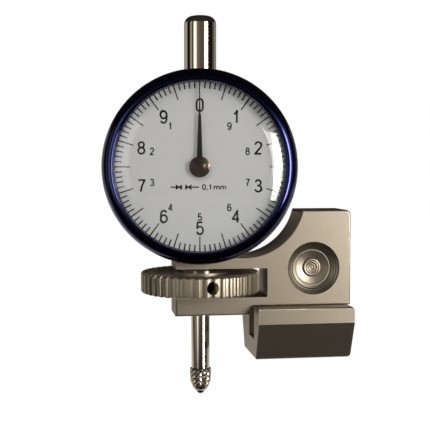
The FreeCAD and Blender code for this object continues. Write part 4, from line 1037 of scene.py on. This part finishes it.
def makePointer():
    s = pointerSettings
    clearSelection()
    (start, width), *rest = s["blade"]
    bpy.ops.mesh.primitive_plane_add(size=1)
    blade = bpy.context.object
    blade.name = "pointerBlade"
    bpy.ops.object.mode_set(mode="EDIT")
    bpy.ops.transform.resize(value=(2 * width * mm, s["tail"] * mm, 1))
    bpy.ops.transform.translate(value=(0, (start - s["tail"] / 2) * mm, s["back"] * mm))
    for distance, half in rest:
        mesh = bmesh.from_edit_mesh(blade.data)
        top = max(v.co.y for v in mesh.verts) / mm
        pickPoints(lambda co: abs(co.y - top) < 1e-3)
        bpy.ops.mesh.extrude_region_move(TRANSFORM_OT_translate={"value": (0, (distance - top) * mm, 0)})
        bpy.ops.transform.resize(value=(half / width, 1, 1), center_override=(0, 0, 0))
        width = half
    bpy.ops.mesh.select_all(action="SELECT")
    bpy.ops.mesh.extrude_region_move(TRANSFORM_OT_translate={"value": (0, 0, s["thickness"] * mm)})
    bpy.ops.mesh.select_all(action="SELECT")
    bpy.ops.mesh.normals_make_consistent(inside=False)
    bpy.ops.object.mode_set(mode="OBJECT")
    edge = blade.modifiers.new("softEdge", "BEVEL")
    edge.width = s["softEdge"] * mm
    edge.segments = 2
    edge.limit_method = "ANGLE"
    edge.angle_limit = math.radians(40)
    bpy.ops.object.modifier_apply(modifier=edge.name)
    boss = turnPiece("boss", s["boss"], steps=64, closed=False)
    selectOnly(blade, boss)
    bpy.ops.object.join()
    setPiece(blade, "pointer_shaft", paints["blackLacquer"], ["pointer"], dialPlace,
             weighted=False)
    hub = turnPiece("pointerCap", s["hub"], steps=96, closed=False)
    setPiece(hub, "pointer_shaft", metals["turnedSteel"], ["pointer_hub"], dialPlace,
             weighted=False)


makePointer()
print("pointer made")


# The other pieces keep the CAD's shape, joined and smoothed: node, piece, body, material, slot

keptPieces = [
    ("frame_plate", "plateBody", "frame", "satinNickel", "satin_nickel"),
    ("base_block", "footBlock", "frame", "satinNickel", "satin_nickel"),
    ("base_screws", "footScrews", "frame", "blackenedSteel", "blackened_screw"),
    ("wheel_set_screw", "grubScrew", "head", "blackenedSteel", "blackened_screw"),
    ("stem", "stemTube", "head", "polishedSteel", "polished_steel"),
    ("spindle_cap", "capTube", "head", "polishedSteel", "polished_steel"),
    ("case_body", "caseShell", "head", "satinChrome", "case_plate"),
    ("back_cover", "coverPlate", "head", "satinChrome", "case_plate"),
    ("back_gasket", "coverGasket", "head", "nitrileRubber", "rubber_seal"),
    ("back_cover_screws", "coverScrews", "head", "hardSteel", "hard_steel"),
    ("upper_bush", "upperBearing", "head", "bronze", "bronze"),
    ("lower_bush", "lowerBearing", "head", "bronze", "bronze"),
    ("front_plate", "frontMovementPlate", "head", "brass", "brass"),
    ("rear_plate", "rearMovementPlate", "head", "brass", "brass"),
    ("plate_pillars", "pillars", "head", "brass", "brass"),
    ("movement_screws", "movementScrews", "head", "movementSteel", "small_steel"),
    ("centre_cock", "centreBridge", "head", "brass", "brass"),
    ("rack_guide", "guideBracket", "head", "brass", "brass"),
    ("spring_post", "springAnchor", "head", "brass", "brass"),
    ("return_spring", "returnCoil", "head", "springSteel", "spring_wire"),
    ("hairspring", "flatSpring", "head", "springSteel", "spring_wire"),
    ("hairspring_stud", "hairspringAnchor", "head", "brass", "brass"),
    ("bezel_spring", "bezelWire", "head", "springSteel", "spring_wire"),
    ("crystal_gasket", "crystalSeal", "bezel", "nitrileRubber", "rubber_seal"),
    ("dial_spacer", "spacerRing", "bezel", "blackLacquer", "black_ring"),
    ("dial_retainer", "retainerRing", "bezel", "blackLacquer", "black_ring"),
    ("rack_spindle", "rackRod", "spindle", "polishedSteel", "polished_steel"),
    ("guide_pin", "guidePin", "spindle", "hardSteel", "hard_steel"),
    ("rack_pinion", "pinionArbor", "rack_gear", "movementSteel", "small_steel"),
    ("transfer_gear", "transferWheel", "rack_gear", "brass", "brass"),
    ("centre_arbor", "centrePinion", "pointer_shaft", "movementSteel", "small_steel"),
    ("centre_gear", "centreWheel", "pointer_shaft", "brass", "brass"),
    ("takeup_arbor", "takeupArbor", "takeup_wheel", "movementSteel", "small_steel"),
    ("takeup_gear", "takeupWheel", "takeup_wheel", "brass", "brass"),
]
for node, name, body, material, slot in keptPieces:
    setPiece(smoothCopy(node, name), body, (metals | paints)[material], [node])
print("other pieces dressed")
